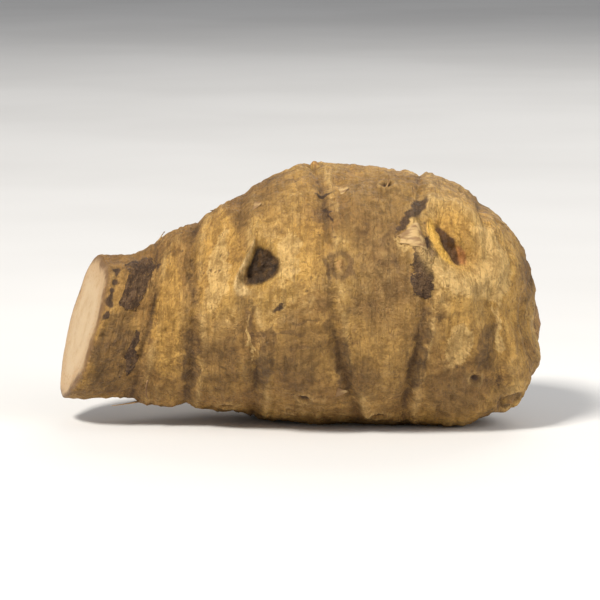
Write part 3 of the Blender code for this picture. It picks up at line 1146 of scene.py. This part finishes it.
@dataclass(frozen=True)
class ScaleScraps:
    """The papery remnants of the scale leaves that once sheathed the nodes."""

    thickness: float = 0.06
    sunk: float = 0.03
    rows: int = 8
    raggedness: Layer = Layer(0.35, 1.0, 2)
    jags: float = 3.0
    end_share: float = 0.2
    narrowing: float = 1.4
    step: float = 0.2

    def laid(self, tuber: Tuber, scrap: Scrap, flat: Array) -> Array:
        """Lays a flat scrap on the skin.

        Args:
            tuber: The tuber that it lies on.
            scrap: The scrap.
            flat: Its flat points: the way out from its foot in shares, the way across, and 0 on
                its underside or 1 on its top.

        Returns:
            Its points in place.
        """
        out = np.clip(flat[:, 0], 0.0, 1.0)
        narrow = 1.0 - (1.0 - self.end_share) * out**self.narrowing
        across = 0.5 * flat[:, 1] * scrap.width * narrow
        read = (flat[:, 0] * self.jags, flat[:, 1] * self.jags, np.full_like(out, scrap.angle))
        out = out * (1.0 + self.raggedness.at(np.column_stack(read)))
        along = out * scrap.length
        heading = math.radians(scrap.heading)
        x = scrap.x + along * math.cos(heading) - across * math.sin(heading)
        around = along * math.sin(heading) + across * math.cos(heading)
        angle = math.radians(scrap.angle) + around / tuber.body.radius(scrap.x)
        skin, ahead, beside = tuber.skin_ways(Places(x, angle), scrap, self.step)
        outward = np.cross(ahead, beside)
        outward /= np.linalg.norm(outward, axis=1)[:, None]
        lift = scrap.lift * out**2 - self.sunk * (1.0 - out) + self.thickness * flat[:, 2]
        return skin + outward * lift[:, None]

    def build(self, tuber: Tuber) -> bpy.types.Object:
        """Builds every scrap.

        Args:
            tuber: The tuber that they lie on.

        Returns:
            Their object, riding on the root body.
        """
        scraps = bmesh.new()
        for scrap in SCRAPS:
            grid = {"x_segments": self.rows, "y_segments": self.rows, "size": 1.0}
            under = bmesh.ops.create_grid(scraps, **grid)["verts"]
            faces = [face for face in scraps.faces if face.verts[0] in under]
            grown = bmesh.ops.extrude_face_region(scraps, geom=faces, use_keep_orig=True)
            top = [item for item in grown["geom"] if isinstance(item, bmesh.types.BMVert)]
            bmesh.ops.translate(scraps, verts=top, vec=(0.0, 0.0, 1.0))
            sheet = [face for face in scraps.faces if face.verts[0] in under + top]
            bmesh.ops.recalc_face_normals(scraps, faces=sheet)
            flat = [(0.5 + 0.5 * spot.co.x, spot.co.y, spot.co.z) for spot in under + top]
            laid = self.laid(tuber, scrap, np.array(flat))
            for vertex, place in zip(under + top, laid, strict=True):
                vertex.co = place
        return add_piece("scale_scraps", scraps, PAPERY_SCALE.make())


@dataclass(frozen=True)
class Rootlets:
    """The few thin roots that stayed on the tuber."""

    foot_radius: float = 0.16
    end_share: float = 0.25
    sunk: float = 0.25
    sides: int = 6
    steps: int = 10
    reading: float = 0.4

    def grow(self, roots: bmesh.types.BMesh, tuber: Tuber, root: Rootlet) -> None:
        """Grows one root out of the skin.

        Args:
            roots: The mesh that it is added to.
            tuber: The tuber that it grows from.
            root: The root.
        """
        at = Places(np.array([root.x]), np.array([math.radians(root.angle)]))
        skin, ahead, beside = (Vector(way[0]) for way in tuber.skin_ways(at, root, self.reading))
        along = ahead.normalized()
        outward = along.cross(beside).normalized()
        heading = math.radians(root.heading)
        flat = along * math.cos(heading) + outward.cross(along) * math.sin(heading)
        rise = math.radians(root.rise)
        way = flat * math.cos(rise) + outward * math.sin(rise)
        middle = skin - way * self.sunk
        start = Matrix.Translation(middle) @ way.to_track_quat("Z", "Y").to_matrix().to_4x4()
        ends = {"segments": self.sides, "radius": self.foot_radius, "cap_ends": True}
        rim = bmesh.ops.create_circle(roots, matrix=start, **ends)["verts"]
        edges = [edge for edge in roots.edges if all(v in rim for v in edge.verts)]
        shrink = self.end_share ** (1.0 / self.steps)
        bend = Matrix.Rotation(math.radians(root.curl) / self.steps, 3, outward)
        for _ in range(self.steps):
            grown = bmesh.ops.extrude_edge_only(roots, edges=edges)["geom"]
            rim = [item for item in grown if isinstance(item, bmesh.types.BMVert)]
            edges = [item for item in grown if isinstance(item, bmesh.types.BMEdge)]
            edges = [edge for edge in edges if all(v in rim for v in edge.verts)]
            move = way * (root.length / self.steps)
            middle = middle + move
            bmesh.ops.translate(roots, verts=rim, vec=move)
            bmesh.ops.rotate(roots, verts=rim, cent=middle, matrix=bend)
            at_middle = Matrix.Translation(-middle)
            bmesh.ops.scale(roots, verts=rim, vec=(shrink,) * 3, space=at_middle)
            way = bend @ way
        bmesh.ops.contextual_create(roots, geom=edges)

    def build(self, tuber: Tuber) -> bpy.types.Object:
        """Builds every root.

        Args:
            tuber: The tuber that they grow from.

        Returns:
            Their object, riding on the root body.
        """
        roots = bmesh.new()
        for root in ROOTLETS:
            self.grow(roots, tuber, root)
        bmesh.ops.recalc_face_normals(roots, faces=roots.faces[:])
        return add_piece("rootlets", roots, DRY_ROOT.make())


def tint(red: int, green: int, blue: int) -> Colour:
    """A colour, each part from 0 to 255, as the linear amounts that it throws back."""
    return tuple(Color((red / 255.0, green / 255.0, blue / 255.0)).from_srgb_to_scene_linear())


class Value:
    """A number that changes over a surface. Arithmetic on it adds the nodes that work it out."""

    def __init__(self, recipe: Recipe, socket: bpy.types.NodeSocket) -> None:
        """Wraps an output socket of a material."""
        self.recipe = recipe
        self.socket = socket

    def worked(self, operation: str, *numbers: Number) -> Value:
        """What a Math node with this operation makes of the numbers."""
        made = self.recipe.node("ShaderNodeMath", {"operation": operation}, dict(enumerate(numbers)))
        return Value(self.recipe, made.outputs[0])

    def __add__(self, other: Number) -> Value:
        """This plus other."""
        return self.worked("ADD", self, other)

    def __sub__(self, other: Number) -> Value:
        """This less other."""
        return self.worked("SUBTRACT", self, other)

    def __rsub__(self, other: Number) -> Value:
        """Other less this."""
        return self.worked("SUBTRACT", other, self)

    def __mul__(self, other: Number) -> Value:
        """This times other."""
        return self.worked("MULTIPLY", self, other)

    def __truediv__(self, other: Number) -> Value:
        """This divided by other."""
        return self.worked("DIVIDE", self, other)

    def __rtruediv__(self, other: Number) -> Value:
        """Other divided by this."""
        return self.worked("DIVIDE", other, self)

    __radd__ = __add__
    __rmul__ = __mul__

    def hump(self, width: float) -> Value:
        """A smooth hump of height 1 where this is 0, down to about a third at width."""
        share = self / width
        return self.worked("EXPONENT", 0.0 - share * share)

    def rise(self, start: float, full: float) -> Value:
        """Rises smoothly from 0 at start to 1 at full, or falls where full is below start.

        Args:
            start: Where the share is 0.
            full: Where it is 1.

        Returns:
            The share.
        """
        falls = full < start
        low, high, first, last = (full, start, 1.0, 0.0) if falls else (start, full, 0.0, 1.0)
        sockets = {"Value": self, "From Min": low, "From Max": high, "To Min": first, "To Max": last}
        made = self.recipe.node("ShaderNodeMapRange", {"interpolation_type": "SMOOTHSTEP"}, sockets)
        return Value(self.recipe, made.outputs[0])


class Recipe:
    """A material's nodes, added one after another."""

    def __init__(self, name: str, kept_place: str = "") -> None:
        """Starts an empty material.

        Args:
            name: Its name.
            kept_place: The name of the place kept at each point, at which its noises are read.
                Without one they are read at the point's place on its object.
        """
        self.material = bpy.data.materials.new(name)
        self.material.use_nodes = True
        self.tree = self.material.node_tree
        self.tree.nodes.clear()
        self.seen: dict[Source, Value] = {}
        if kept_place:
            kept = self.node("ShaderNodeAttribute", {"attribute_name": kept_place}, {})
            self.place = kept.outputs["Vector"]
        else:
            self.place = self.node("ShaderNodeTexCoord", {}, {}).outputs["Object"]

    def node(
        self, kind: str, settings: dict[str, object], sockets: dict[str | int, object]
    ) -> bpy.types.Node:
        """Adds a node.

        Args:
            kind: The node's type.
            settings: Its settings, which are set first.
            sockets: The value or the link of each of its sockets.

        Returns:
            The node.
        """
        made = self.tree.nodes.new(kind)
        for name, setting in settings.items():
            setattr(made, name, setting)
        for name, value in sockets.items():
            self.feed(made.inputs[name], value)
        return made

    def feed(self, socket: bpy.types.NodeSocket, value: object) -> None:
        """Sets a socket, or links it.

        Args:
            socket: The input socket.
            value: A Value, an output socket, a colour, a vector or a number.
        """
        if isinstance(value, Value):
            self.tree.links.new(value.socket, socket)
        elif isinstance(value, bpy.types.NodeSocket):
            self.tree.links.new(value, socket)
        elif socket.type == "RGBA":
            socket.default_value = (*value, 1.0)
        else:
            socket.default_value = value

    def read(self, source: Source) -> Value:
        """Reads a source, by the same nodes each time.

        Args:
            source: What is read.

        Returns:
            Its number at each point.
        """
        if source not in self.seen:
            self.seen[source] = source.read(self)
        return self.seen[source]

    def mix(
        self, share: Number, under: object, over: object, blend: str = "MIX"
    ) -> bpy.types.NodeSocket:
        """One colour laid over another.

        Args:
            share: How much of the upper one shows, from 0 to 1.
            under: The lower colour.
            over: The upper colour.
            blend: How the two are blended.

        Returns:
            The mixed colour.
        """
        settings = {"data_type": "RGBA", "blend_type": blend, "clamp_factor": True}
        sockets = {MIX_SHARE: share, MIX_UNDER: under, MIX_OVER: over}
        return self.node("ShaderNodeMix", settings, sockets).outputs[MIXED]

    def finish(self, sockets: dict[str | int, object]) -> bpy.types.Material:
        """Closes the material with its shader.

        Args:
            sockets: The value or the link of each of the shader's sockets.

        Returns:
            The material.
        """
        shader = self.node("ShaderNodeBsdfPrincipled", {}, sockets)
        self.node("ShaderNodeOutputMaterial", {}, {"Surface": shader.outputs[0]})
        return self.material


class Source(Protocol):
    """Something that a finish reads at each point: a kept mark, a noise, or what is made of them."""

    def read(self, recipe: Recipe) -> Value:
        """The source's number at each point."""


@dataclass(frozen=True)
class Noise:
    """Smooth noise: its swells in one unit, its finer layers and their strength, and its stirring.

    Squeeze holds how many times each part of the place is multiplied before it is read.
    """

    scale: float
    detail: float
    roughness: float = 0.5
    stirring: float = 0.0
    squeeze: tuple[float, float, float] = (1.0, 1.0, 1.0)

    def read(self, recipe: Recipe) -> Value:
        """Reads the noise, which is about 0.2 to 0.8, and 0.5 on the whole.

        Args:
            recipe: The material that reads it.

        Returns:
            Its number at each point.
        """
        squeezed = {0: recipe.place, 1: self.squeeze}
        place = recipe.node("ShaderNodeVectorMath", {"operation": "MULTIPLY"}, squeezed)
        sockets = {
            "Vector": place.outputs[0],
            "Scale": self.scale,
            "Detail": self.detail,
            "Roughness": self.roughness,
            "Distortion": self.stirring,
        }
        return Value(recipe, recipe.node("ShaderNodeTexNoise", {}, sockets).outputs[0])


@dataclass(frozen=True)
class Dots:
    """Scattered dots, about as many in one unit as the scale says."""

    scale: float

    def read(self, recipe: Recipe) -> Value:
        """The distance to the nearest dot at each point."""
        sockets = {"Vector": recipe.place, "Scale": self.scale, "Randomness": 1.0}
        return Value(recipe, recipe.node("ShaderNodeTexVoronoi", {"feature": "F1"}, sockets).outputs[0])


@dataclass(frozen=True)
class Rise:
    """A share that goes smoothly from 0 to 1 while a source goes from start to full."""

    source: Source
    start: float
    full: float

    def read(self, recipe: Recipe) -> Value:
        """The share at each point."""
        return recipe.read(self.source).rise(self.start, self.full)


@dataclass(frozen=True)
class Stripe:
    """A share that is 1 where a source is at middle, and about a third at width from it."""

    source: Source
    middle: float
    width: float

    def read(self, recipe: Recipe) -> Value:
        """The share at each point."""
        return (recipe.read(self.source) - self.middle).hump(self.width)


@dataclass(frozen=True)
class Both:
    """The product of two sources, or of two shares."""

    first: Source
    second: Source

    def read(self, recipe: Recipe) -> Value:
        """The product at each point."""
        return recipe.read(self.first) * recipe.read(self.second)


@dataclass(frozen=True)
class Between:
    """One source where a share is 0, and another where it is 1."""

    share: Source
    under: Source
    over: Source

    def read(self, recipe: Recipe) -> Value:
        """The blend of the two at each point."""
        share = recipe.read(self.share)
        return recipe.read(self.under) * (1.0 - share) + recipe.read(self.over) * share


@dataclass(frozen=True)
class Total:
    """What sources add up to, each by its amount, and what that starts from."""

    amounts: tuple[tuple[Source, float], ...]
    start: float = 0.0

    def read(self, recipe: Recipe) -> Value:
        """The total at each point."""
        return sum((recipe.read(source) * amount for source, amount in self.amounts), self.start)


@dataclass(frozen=True)
class Frayed:
    """A source whose edges are frayed by the patchy, the mottled and the specked noise."""

    source: Source
    patchy: float = 0.0
    mottled: float = 0.0
    specked: float = 0.0

    def read(self, recipe: Recipe) -> Value:
        """Reads the source and adds the noises, each of which adds nothing on the whole.

        Args:
            recipe: The material that reads it.

        Returns:
            The frayed number at each point.
        """
        noises = ((PATCHY, self.patchy), (MOTTLED, self.mottled), (SPECKED, self.specked))
        frays = [(recipe.read(noise) - 0.5) * amount for noise, amount in noises if amount]
        return sum(frays, recipe.read(self.source))


@dataclass(frozen=True)
class Folded:
    """A source folded to and fro between 0 and a half."""

    source: Source

    def read(self, recipe: Recipe) -> Value:
        """The folded number at each point."""
        value = recipe.read(self.source)
        return value.worked("PINGPONG", value, 0.5)


@dataclass(frozen=True)
class Coat:
    """A coat of a colour or a paint: where it lies, and its strength there."""

    colour: Colour | Paint
    where: Source
    strength: float = 1.0


@dataclass(frozen=True)
class Paint:
    """A colour with coats laid over it, one after another."""

    base: Colour
    coats: tuple[Coat, ...]

    def mixed(self, recipe: Recipe) -> bpy.types.NodeSocket:
        """Mixes the paint.

        Args:
            recipe: The material that it is for.

        Returns:
            Its colour at each point.
        """
        colour = self.base
        for coat in self.coats:
            over = coat.colour.mixed(recipe) if isinstance(coat.colour, Paint) else coat.colour
            colour = recipe.mix(recipe.read(coat.where) * coat.strength, colour, over)
        return colour


@dataclass(frozen=True)
class Bump:
    """A grain too fine to be modelled: its form, its strength, and its depth in metres."""

    form: Source
    strength: float
    depth: float

    def laid(self, recipe: Recipe) -> bpy.types.NodeSocket:
        """The surface's direction with the grain."""
        sockets = {"Height": recipe.read(self.form), "Strength": self.strength, "Distance": self.depth}
        return recipe.node("ShaderNodeBump", {}, sockets).outputs[0]


@dataclass(frozen=True)
class MattFinish:
    """A matt finish: its name, its paint, how matt it is, and its grain."""

    name: str
    paint: Paint
    mattness: Total
    grain: Bump

    def make(self) -> bpy.types.Material:
        """Makes the material.

        Returns:
            The material.
        """
        recipe = Recipe(self.name)
        return recipe.finish(
            {
                "Base Color": self.paint.mixed(recipe),
                "Roughness": recipe.read(self.mattness),
                "Normal": self.grain.laid(recipe),
            }
        )


BROAD = Noise(0.11, 3.0)
PATCHY = Noise(0.4, 5.0, 0.62)
MOTTLED = Noise(1.1, 4.0, 0.6)
SPECKED = Noise(3.6, 3.0, 0.6)
CLOUDED = Noise(0.8, 3.0, 0.55, 0.6)
STREAKED = Noise(1.0, 5.0, 0.62, 0.3, (1.9, 0.22, 0.22))
CREASED = Noise(1.0, 4.0, 0.55, 0.2, (0.35, 1.4, 1.4))
WRINKLED = Noise(1.0, 2.0, 0.45, 0.3, (1.0, 0.26, 0.26))
BIG_DOTS = Dots(0.9)
FINE_DOTS = Dots(2.3)

PALE = tint(194, 160, 102)
TAN = tint(141, 105, 54)
BROWN = tint(105, 75, 38)
GOLDEN = tint(182, 140, 68)
STAINED = tint(112, 83, 44)
DARK_LINE = tint(84, 60, 36)
SOIL_AND_SHADE = tint(74, 54, 34)
DARK_CORK = tint(64, 45, 32)
# Dark brown for soil specks, also laid as painted shade in the sunk places.
CREASE_BROWN = tint(96, 70, 40)
BUD_FLUSH = tint(152, 84, 46)
BUD_ROSE = tint(150, 106, 70)
BUD_FOLD = tint(78, 50, 24)
DEEP_FLESH = tint(184, 148, 104)
FLESH_SPOT = tint(176, 134, 88)

GROUND_COATS = (
    Coat(TAN, Rise(BROAD, 0.38, 0.62)),
    Coat(BROWN, Rise(PATCHY, 0.48, 0.74)),
    # Yellower and paler near the eyes: partly the skin's tone, partly a painted highlight on their
    # mounds.
    Coat(tint(184, 146, 76), Rise(Frayed(Mark.EYE, patchy=1.6), 3.0, 1.3), 0.6),
    # Paler where the skin stands above the swellings round it: a painted highlight.
    Coat(PALE, Both(Rise(Mark.HOLLOW, 0.15, -0.35), Rise(MOTTLED, 0.35, 0.7)), 0.6),
    Coat(BROWN, Rise(STREAKED, 0.5, 0.72), 0.45),
    Coat(PALE, Rise(STREAKED, 0.46, 0.3), 0.4),
)

NODE_BAND = Both(Rise(Frayed(Mark.RING, patchy=3.0), 1.7, 0.3), Rise(MOTTLED, 0.3, 0.62))
NODE_LINE = Both(Rise(Frayed(Mark.RING, mottled=0.7), 0.36, 0.1), Rise(PATCHY, 0.44, 0.6))

NODE_COATS = (
    Coat(tint(114, 86, 50), NODE_BAND, 0.7),
    # The pale stripe along the nodes' lips is a painted highlight on the ridges.
    Coat(PALE, Both(Stripe(Mark.RIDGE, 0.0, 0.42), Rise(PATCHY, 0.62, 0.42)), 0.65),
    Coat(DARK_LINE, NODE_LINE, 0.75),
)

DIRT = Paint(tint(82, 60, 36), (Coat(STAINED, Rise(MOTTLED, 0.4, 0.6)),))
CORK_FLECKS = (Coat(DARK_CORK, Rise(MOTTLED, 0.4, 0.6)), Coat(TAN, Rise(SPECKED, 0.58, 0.7), 0.6))
CORKY = Frayed(Mark.CORK, 1.4, 1.26, 0.63)

PATCH_COATS = (
    Coat(GOLDEN, Rise(Frayed(Mark.GOLD, 2.0, 1.8, 0.9), -0.4, 0.6), 0.6),
    Coat(STAINED, Rise(Frayed(Mark.STAIN, 2.0, 1.8, 0.9), -0.4, 0.6), 0.6),
    # Pale coat of the worn patches: rubbed skin and painted highlight.
    Coat(PALE, Rise(Frayed(Mark.WORN_AND_HIGHLIGHT, 1.4, 1.26, 0.63), -0.15, 0.35), 0.75),
    Coat(DIRT, Rise(Frayed(Mark.BAND, 2.0, 1.8, 0.9), -0.15, 0.4), 0.8),
    Coat(Paint(tint(102, 78, 56), CORK_FLECKS), Rise(CORKY, -0.02, 0.14), 0.94),
    Coat(DARK_CORK, Both(Stripe(CORKY, 0.06, 0.09), Rise(SPECKED, 0.4, 0.52)), 0.8),
)

BLOT = Both(Rise(Frayed(BIG_DOTS, specked=0.3), 0.2, 0.1), Rise(BROAD, 0.45, 0.6))

SPECK_COATS = (
    # Darker in the sunk places: soil and painted shade.
    Coat(SOIL_AND_SHADE, Both(Rise(Mark.HOLLOW, 0.3, 0.95), Rise(MOTTLED, 0.4, 0.62)), 0.6),
    Coat(SOIL_AND_SHADE, Both(Rise(FINE_DOTS, 0.24, 0.1), Rise(PATCHY, 0.5, 0.6)), 0.55),
    Coat(DARK_LINE, BLOT, 0.6),
    Coat(PALE, Stripe(Mark.SCAR, 1.7, 0.5), 0.3),
    Coat(DARK_CORK, Rise(Mark.SCAR, 1.15, 0.5), 0.85),
)

BROW = Both(Stripe(Frayed(Mark.EYE, mottled=0.5), 1.45, 0.32), Rise(Mark.PLUMP, 0.01, 0.1))
RINGED = Rise(Mark.CONE, 0.12, 0.45)
SCALES = Folded(Total(((Mark.EYE, 2.1), (MOTTLED, 0.8)), -0.4))
BUD_RINGS = Both(Both(RINGED, Rise(SCALES, 0.26, 0.02)), Rise(MOTTLED, 0.4, 0.55))
SMALL_SOCKET = Both(Stripe(Frayed(Mark.EYE, mottled=0.4), 0.75, 0.3), Rise(Mark.SMALL, 0.2, 0.5))
PIT_INSIDE = Paint(tint(44, 28, 15), (Coat(BROWN, Rise(MOTTLED, 0.45, 0.7), 0.4),))

EYE_COATS = (
    Coat(PALE, BROW, 0.7),
    Coat(GOLDEN, Rise(Frayed(Mark.PLUMP, mottled=0.3), 0.25, 0.6), 0.6),
    # Bright yellow on the plump bud's outer scale: partly its own colour, partly a painted highlight.
    Coat(tint(206, 162, 74), Rise(Frayed(Mark.CRESCENT, mottled=0.35), 0.25, 0.7), 0.85),
    Coat(BUD_FLUSH, Rise(Frayed(Mark.FLUSH, mottled=0.4), 0.3, 0.75), 0.62),
    # Dark in the slit behind the plump bud: a painted shadow.
    Coat(BUD_FOLD, Rise(Frayed(Mark.SLIT, mottled=0.4), 0.3, 0.62), 0.95),
    Coat(BUD_ROSE, RINGED, 0.35),
    Coat(BUD_FOLD, BUD_RINGS, 0.7),
    Coat(CREASE_BROWN, SMALL_SOCKET, 0.7),
    Coat(BUD_ROSE, Rise(Frayed(Mark.SMALL, mottled=0.25), 0.8, 0.97), 0.4),
    Coat(BUD_FLUSH, Rise(Frayed(Mark.CONE, mottled=0.3), 0.78, 1.0), 0.4),
    Coat(tint(206, 176, 124), Rise(Frayed(Mark.LIP, mottled=0.45), 0.15, 0.8), 0.8),
    Coat(PIT_INSIDE, Rise(Frayed(Mark.PIT, mottled=0.3), 0.4, 0.58), 0.96),
)

SPOTTED = Frayed(Mark.SPOT, mottled=0.96, specked=0.48)

SPOT_COATS = (
    Coat(CREASE_BROWN, Rise(Frayed(Mark.CREASE, mottled=1.6, specked=0.8), -0.3, 0.6), 0.6),
    Coat(CREASE_BROWN, Rise(SPOTTED, -0.5, 0.1), 0.45),
    Coat(DARK_CORK, Rise(SPOTTED, -0.05, 0.5), 0.85),
    Coat(CREASE_BROWN, Both(Stripe(WRINKLED, 0.5, 0.013), Rise(CLOUDED, 0.46, 0.62)), 0.5),
)

UNEVEN_CUT = Frayed(Mark.CUT_OUT, patchy=0.3)

FLESH_COATS = (
    Coat(DEEP_FLESH, Rise(UNEVEN_CUT, 0.5, 0.95), 0.75),
    Coat(DEEP_FLESH, Both(Stripe(UNEVEN_CUT, 0.36, 0.1), Rise(MOTTLED, 0.38, 0.58)), 0.55),
    Coat(FLESH_SPOT, Both(Stripe(Mark.CUT_OUT, 0.76, 0.08), Rise(FINE_DOTS, 0.42, 0.18)), 0.85),
    Coat(FLESH_SPOT, Both(Rise(FINE_DOTS, 0.3, 0.14), Rise(CLOUDED, 0.45, 0.6)), 0.45),
    Coat(DEEP_FLESH, Rise(PATCHY, 0.54, 0.72), 0.5),
    Coat(tint(104, 74, 44), Rise(UNEVEN_CUT, 0.86, 0.98), 0.85),
)

ALL_GRAINS = Total(((CLOUDED, 0.4), (STREAKED, 0.3), (SPECKED, 0.2), (MOTTLED, 0.1)))
ON_CUT = Rise(Mark.CUT_OUT, 1.02, 0.97)
DULL_CORK = Rise(Mark.CORK, -0.1, 0.2)
DULL_SOIL = Rise(Mark.HOLLOW, 0.2, 0.9)
SKIN_MATTNESS = Total(((MOTTLED, 0.2), (DULL_CORK, 0.15), (DULL_SOIL, 0.12)), 0.48)
FLESH_MATTNESS = Total(((PATCHY, 0.16),), 0.4)
SCABS = Both(Rise(Mark.CORK, -0.1, 0.15), SPECKED)
FINE_FOLDS = Both(Stripe(WRINKLED, 0.5, 0.02), Rise(CLOUDED, 0.44, 0.6))
SKIN_GRAINS = ((STREAKED, 1.0), (SPECKED, 0.6), (CREASED, 0.5), (SCABS, 1.0), (FINE_FOLDS, -0.22))
FLESH_GRAINS = ((SPECKED, 0.3),)


@dataclass(frozen=True)
class SkinFinish:
    """Thin tan skin with brown node scars, dark corky patches and flushed buds, and bare flesh."""

    skin: Paint = Paint(
        tint(172, 134, 72),
        GROUND_COATS + NODE_COATS + PATCH_COATS + SPECK_COATS + EYE_COATS + SPOT_COATS,
    )
    shade: Paint = Paint((0.57, 0.52, 0.41), (Coat((1.3, 1.29, 1.25), Rise(ALL_GRAINS, 0.4, 0.6)),))
    flesh: Paint = Paint(tint(204, 177, 138), FLESH_COATS)
    mattness: Between = Between(ON_CUT, SKIN_MATTNESS, FLESH_MATTNESS)
    grain: Bump = Bump(Between(ON_CUT, Total(SKIN_GRAINS), Total(FLESH_GRAINS)), 0.9, 0.00045)
    glow: float = 0.08
    glow_reach: tuple[float, float, float] = (0.9, 0.5, 0.22)
    glow_scale: float = 0.0015
    gloss: float = 0.35

    def make(self) -> bpy.types.Material:
        """Makes the material.

        Returns:
            The skin's material.
        """
        recipe = Recipe("tuber_skin_and_flesh", "grown")
        colour = recipe.mix(1.0, self.skin.mixed(recipe), self.shade.mixed(recipe), "MULTIPLY")
        return recipe.finish(
            {
                "Base Color": recipe.mix(recipe.read(ON_CUT), colour, self.flesh.mixed(recipe)),
                "Roughness": recipe.read(self.mattness),
                "Normal": self.grain.laid(recipe),
                "Subsurface Weight": self.glow,
                "Subsurface Radius": self.glow_reach,
                "Subsurface Scale": self.glow_scale,
                "Specular IOR Level": self.gloss,
            }
        )


VEINS = Noise(1.0, 4.0, squeeze=(350.0, 1500.0, 1500.0))
PAPER_PATCHES = Noise(700.0, 3.0)
VEIN_BROWN = tint(122, 88, 52)
PAPERY_SCALE = MattFinish(
    "papery_scale",
    Paint(
        tint(188, 155, 102),
        (
            Coat(VEIN_BROWN, Rise(VEINS, 0.42, 0.6), 0.8),
            Coat(VEIN_BROWN, Rise(PAPER_PATCHES, 0.5, 0.68), 0.6),
        ),
    ),
    Total(((PAPER_PATCHES, 0.3),), 0.55),
    Bump(VEINS, 0.5, 0.0001),
)

ROOT_PATCHES = Noise(900.0, 3.0)
DRY_ROOT = MattFinish(
    "dry_root",
    Paint(tint(104, 74, 44), (Coat(tint(172, 136, 88), Rise(ROOT_PATCHES, 0.4, 0.6)),)),
    Total(((ROOT_PATCHES, 0.3),), 0.6),
    Bump(Noise(6000.0, 2.0), 0.4, 0.00003),
)

FLOOR_CLOUDS = Noise(9.0, 3.0)
PALE_FLOOR = MattFinish(
    "pale_floor",
    Paint((0.78, 0.77, 0.75), (Coat((0.72, 0.71, 0.69), Rise(FLOOR_CLOUDS, 0.3, 0.7)),)),
    Total(((FLOOR_CLOUDS, 0.15),), 0.7),
    Bump(Noise(700.0, 2.0), 0.15, 0.0001),
)


@dataclass(frozen=True)
class Softbox:
    """A square soft light that faces the tuber."""

    name: str
    place: tuple[float, float, float]
    side: float
    power: float
    colour: Colour

    def build(self, aim: Vector) -> None:
        """Hangs the light.

        Args:
            aim: The point that it faces.
        """
        light = bpy.data.lights.new(self.name, "AREA")
        light.shape = "SQUARE"
        light.size = self.side
        light.energy = self.power
        light.color = self.colour
        lamp = add_object(self.name, light)
        lamp.location = self.place
        lamp.rotation_euler = (aim - Vector(self.place)).to_track_quat("-Z", "Y").to_euler()


@dataclass(frozen=True)
class Studio:
    """The floor, the soft lights, the pale surroundings and the camera."""

    aim: tuple[float, float, float] = (0.0, 0.0, 0.0145)
    floor_side: float = 3.0
    elevation: float = 8.0
    distance: float = 0.405
    lens: float = 200.0
    near_clip: float = 0.01
    surround: Colour = (0.93, 0.95, 1.0)
    surround_strength: float = 0.3
    lights: tuple[Softbox, ...] = (
        Softbox("key", (-0.28, -0.34, 0.55), 0.15, 5.7, (1.0, 0.96, 0.9)),
        Softbox("fill", (0.5, -0.3, 0.35), 0.4, 1.9, (0.97, 0.98, 1.0)),
        Softbox("back", (0.15, 0.5, 0.45), 0.4, 1.2, (1.0, 0.98, 0.95)),
    )

    def build(self) -> None:
        """Builds the studio."""
        self.lay_floor()
        for light in self.lights:
            light.build(Vector(self.aim))
        self.surround_scene()
        self.set_camera()

    def lay_floor(self) -> None:
        """Lays the floor at height 0."""
        plane = bmesh.new()
        bmesh.ops.create_grid(plane, x_segments=1, y_segments=1, size=self.floor_side / 2.0)
        mesh = as_mesh("floor", plane)
        mesh.materials.append(PALE_FLOOR.make())
        add_object("floor", mesh)

    def surround_scene(self) -> None:
        """Gives the surroundings their pale light."""
        world = bpy.data.worlds.new("surroundings")
        world.use_nodes = True
        background = world.node_tree.nodes["Background"]
        background.inputs["Color"].default_value = (*self.surround, 1.0)
        background.inputs["Strength"].default_value = self.surround_strength
        bpy.context.scene.world = world
        bpy.context.scene.view_settings.view_transform = "Standard"

    def set_camera(self) -> None:
        """Sets up the camera in front of the tuber, a little above it."""
        lens = bpy.data.cameras.new("camera")
        lens.lens = self.lens
        lens.clip_start = self.near_clip
        camera = add_object("camera", lens)
        rise = math.radians(self.elevation)
        back = Vector((0.0, -math.cos(rise), math.sin(rise))) * self.distance
        camera.location = Vector(self.aim) + back
        camera.rotation_euler = (-back).to_track_quat("-Z", "Y").to_euler()
        bpy.context.scene.camera = camera


def main() -> None:
    """Builds the tuber, its scale scraps and rootlets, and its studio, and logs each piece's faces."""
    logging.basicConfig(level=logging.INFO, format="%(name)s: %(message)s")
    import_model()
    tuber = Tuber()
    pieces = (tuber.build(), ScaleScraps().build(tuber), Rootlets().build(tuber))
    for piece in pieces:
        log.info("%s: %d faces", piece.name, len(piece.data.polygons))
    Studio().build()


if __name__ == "__main__":
    main()
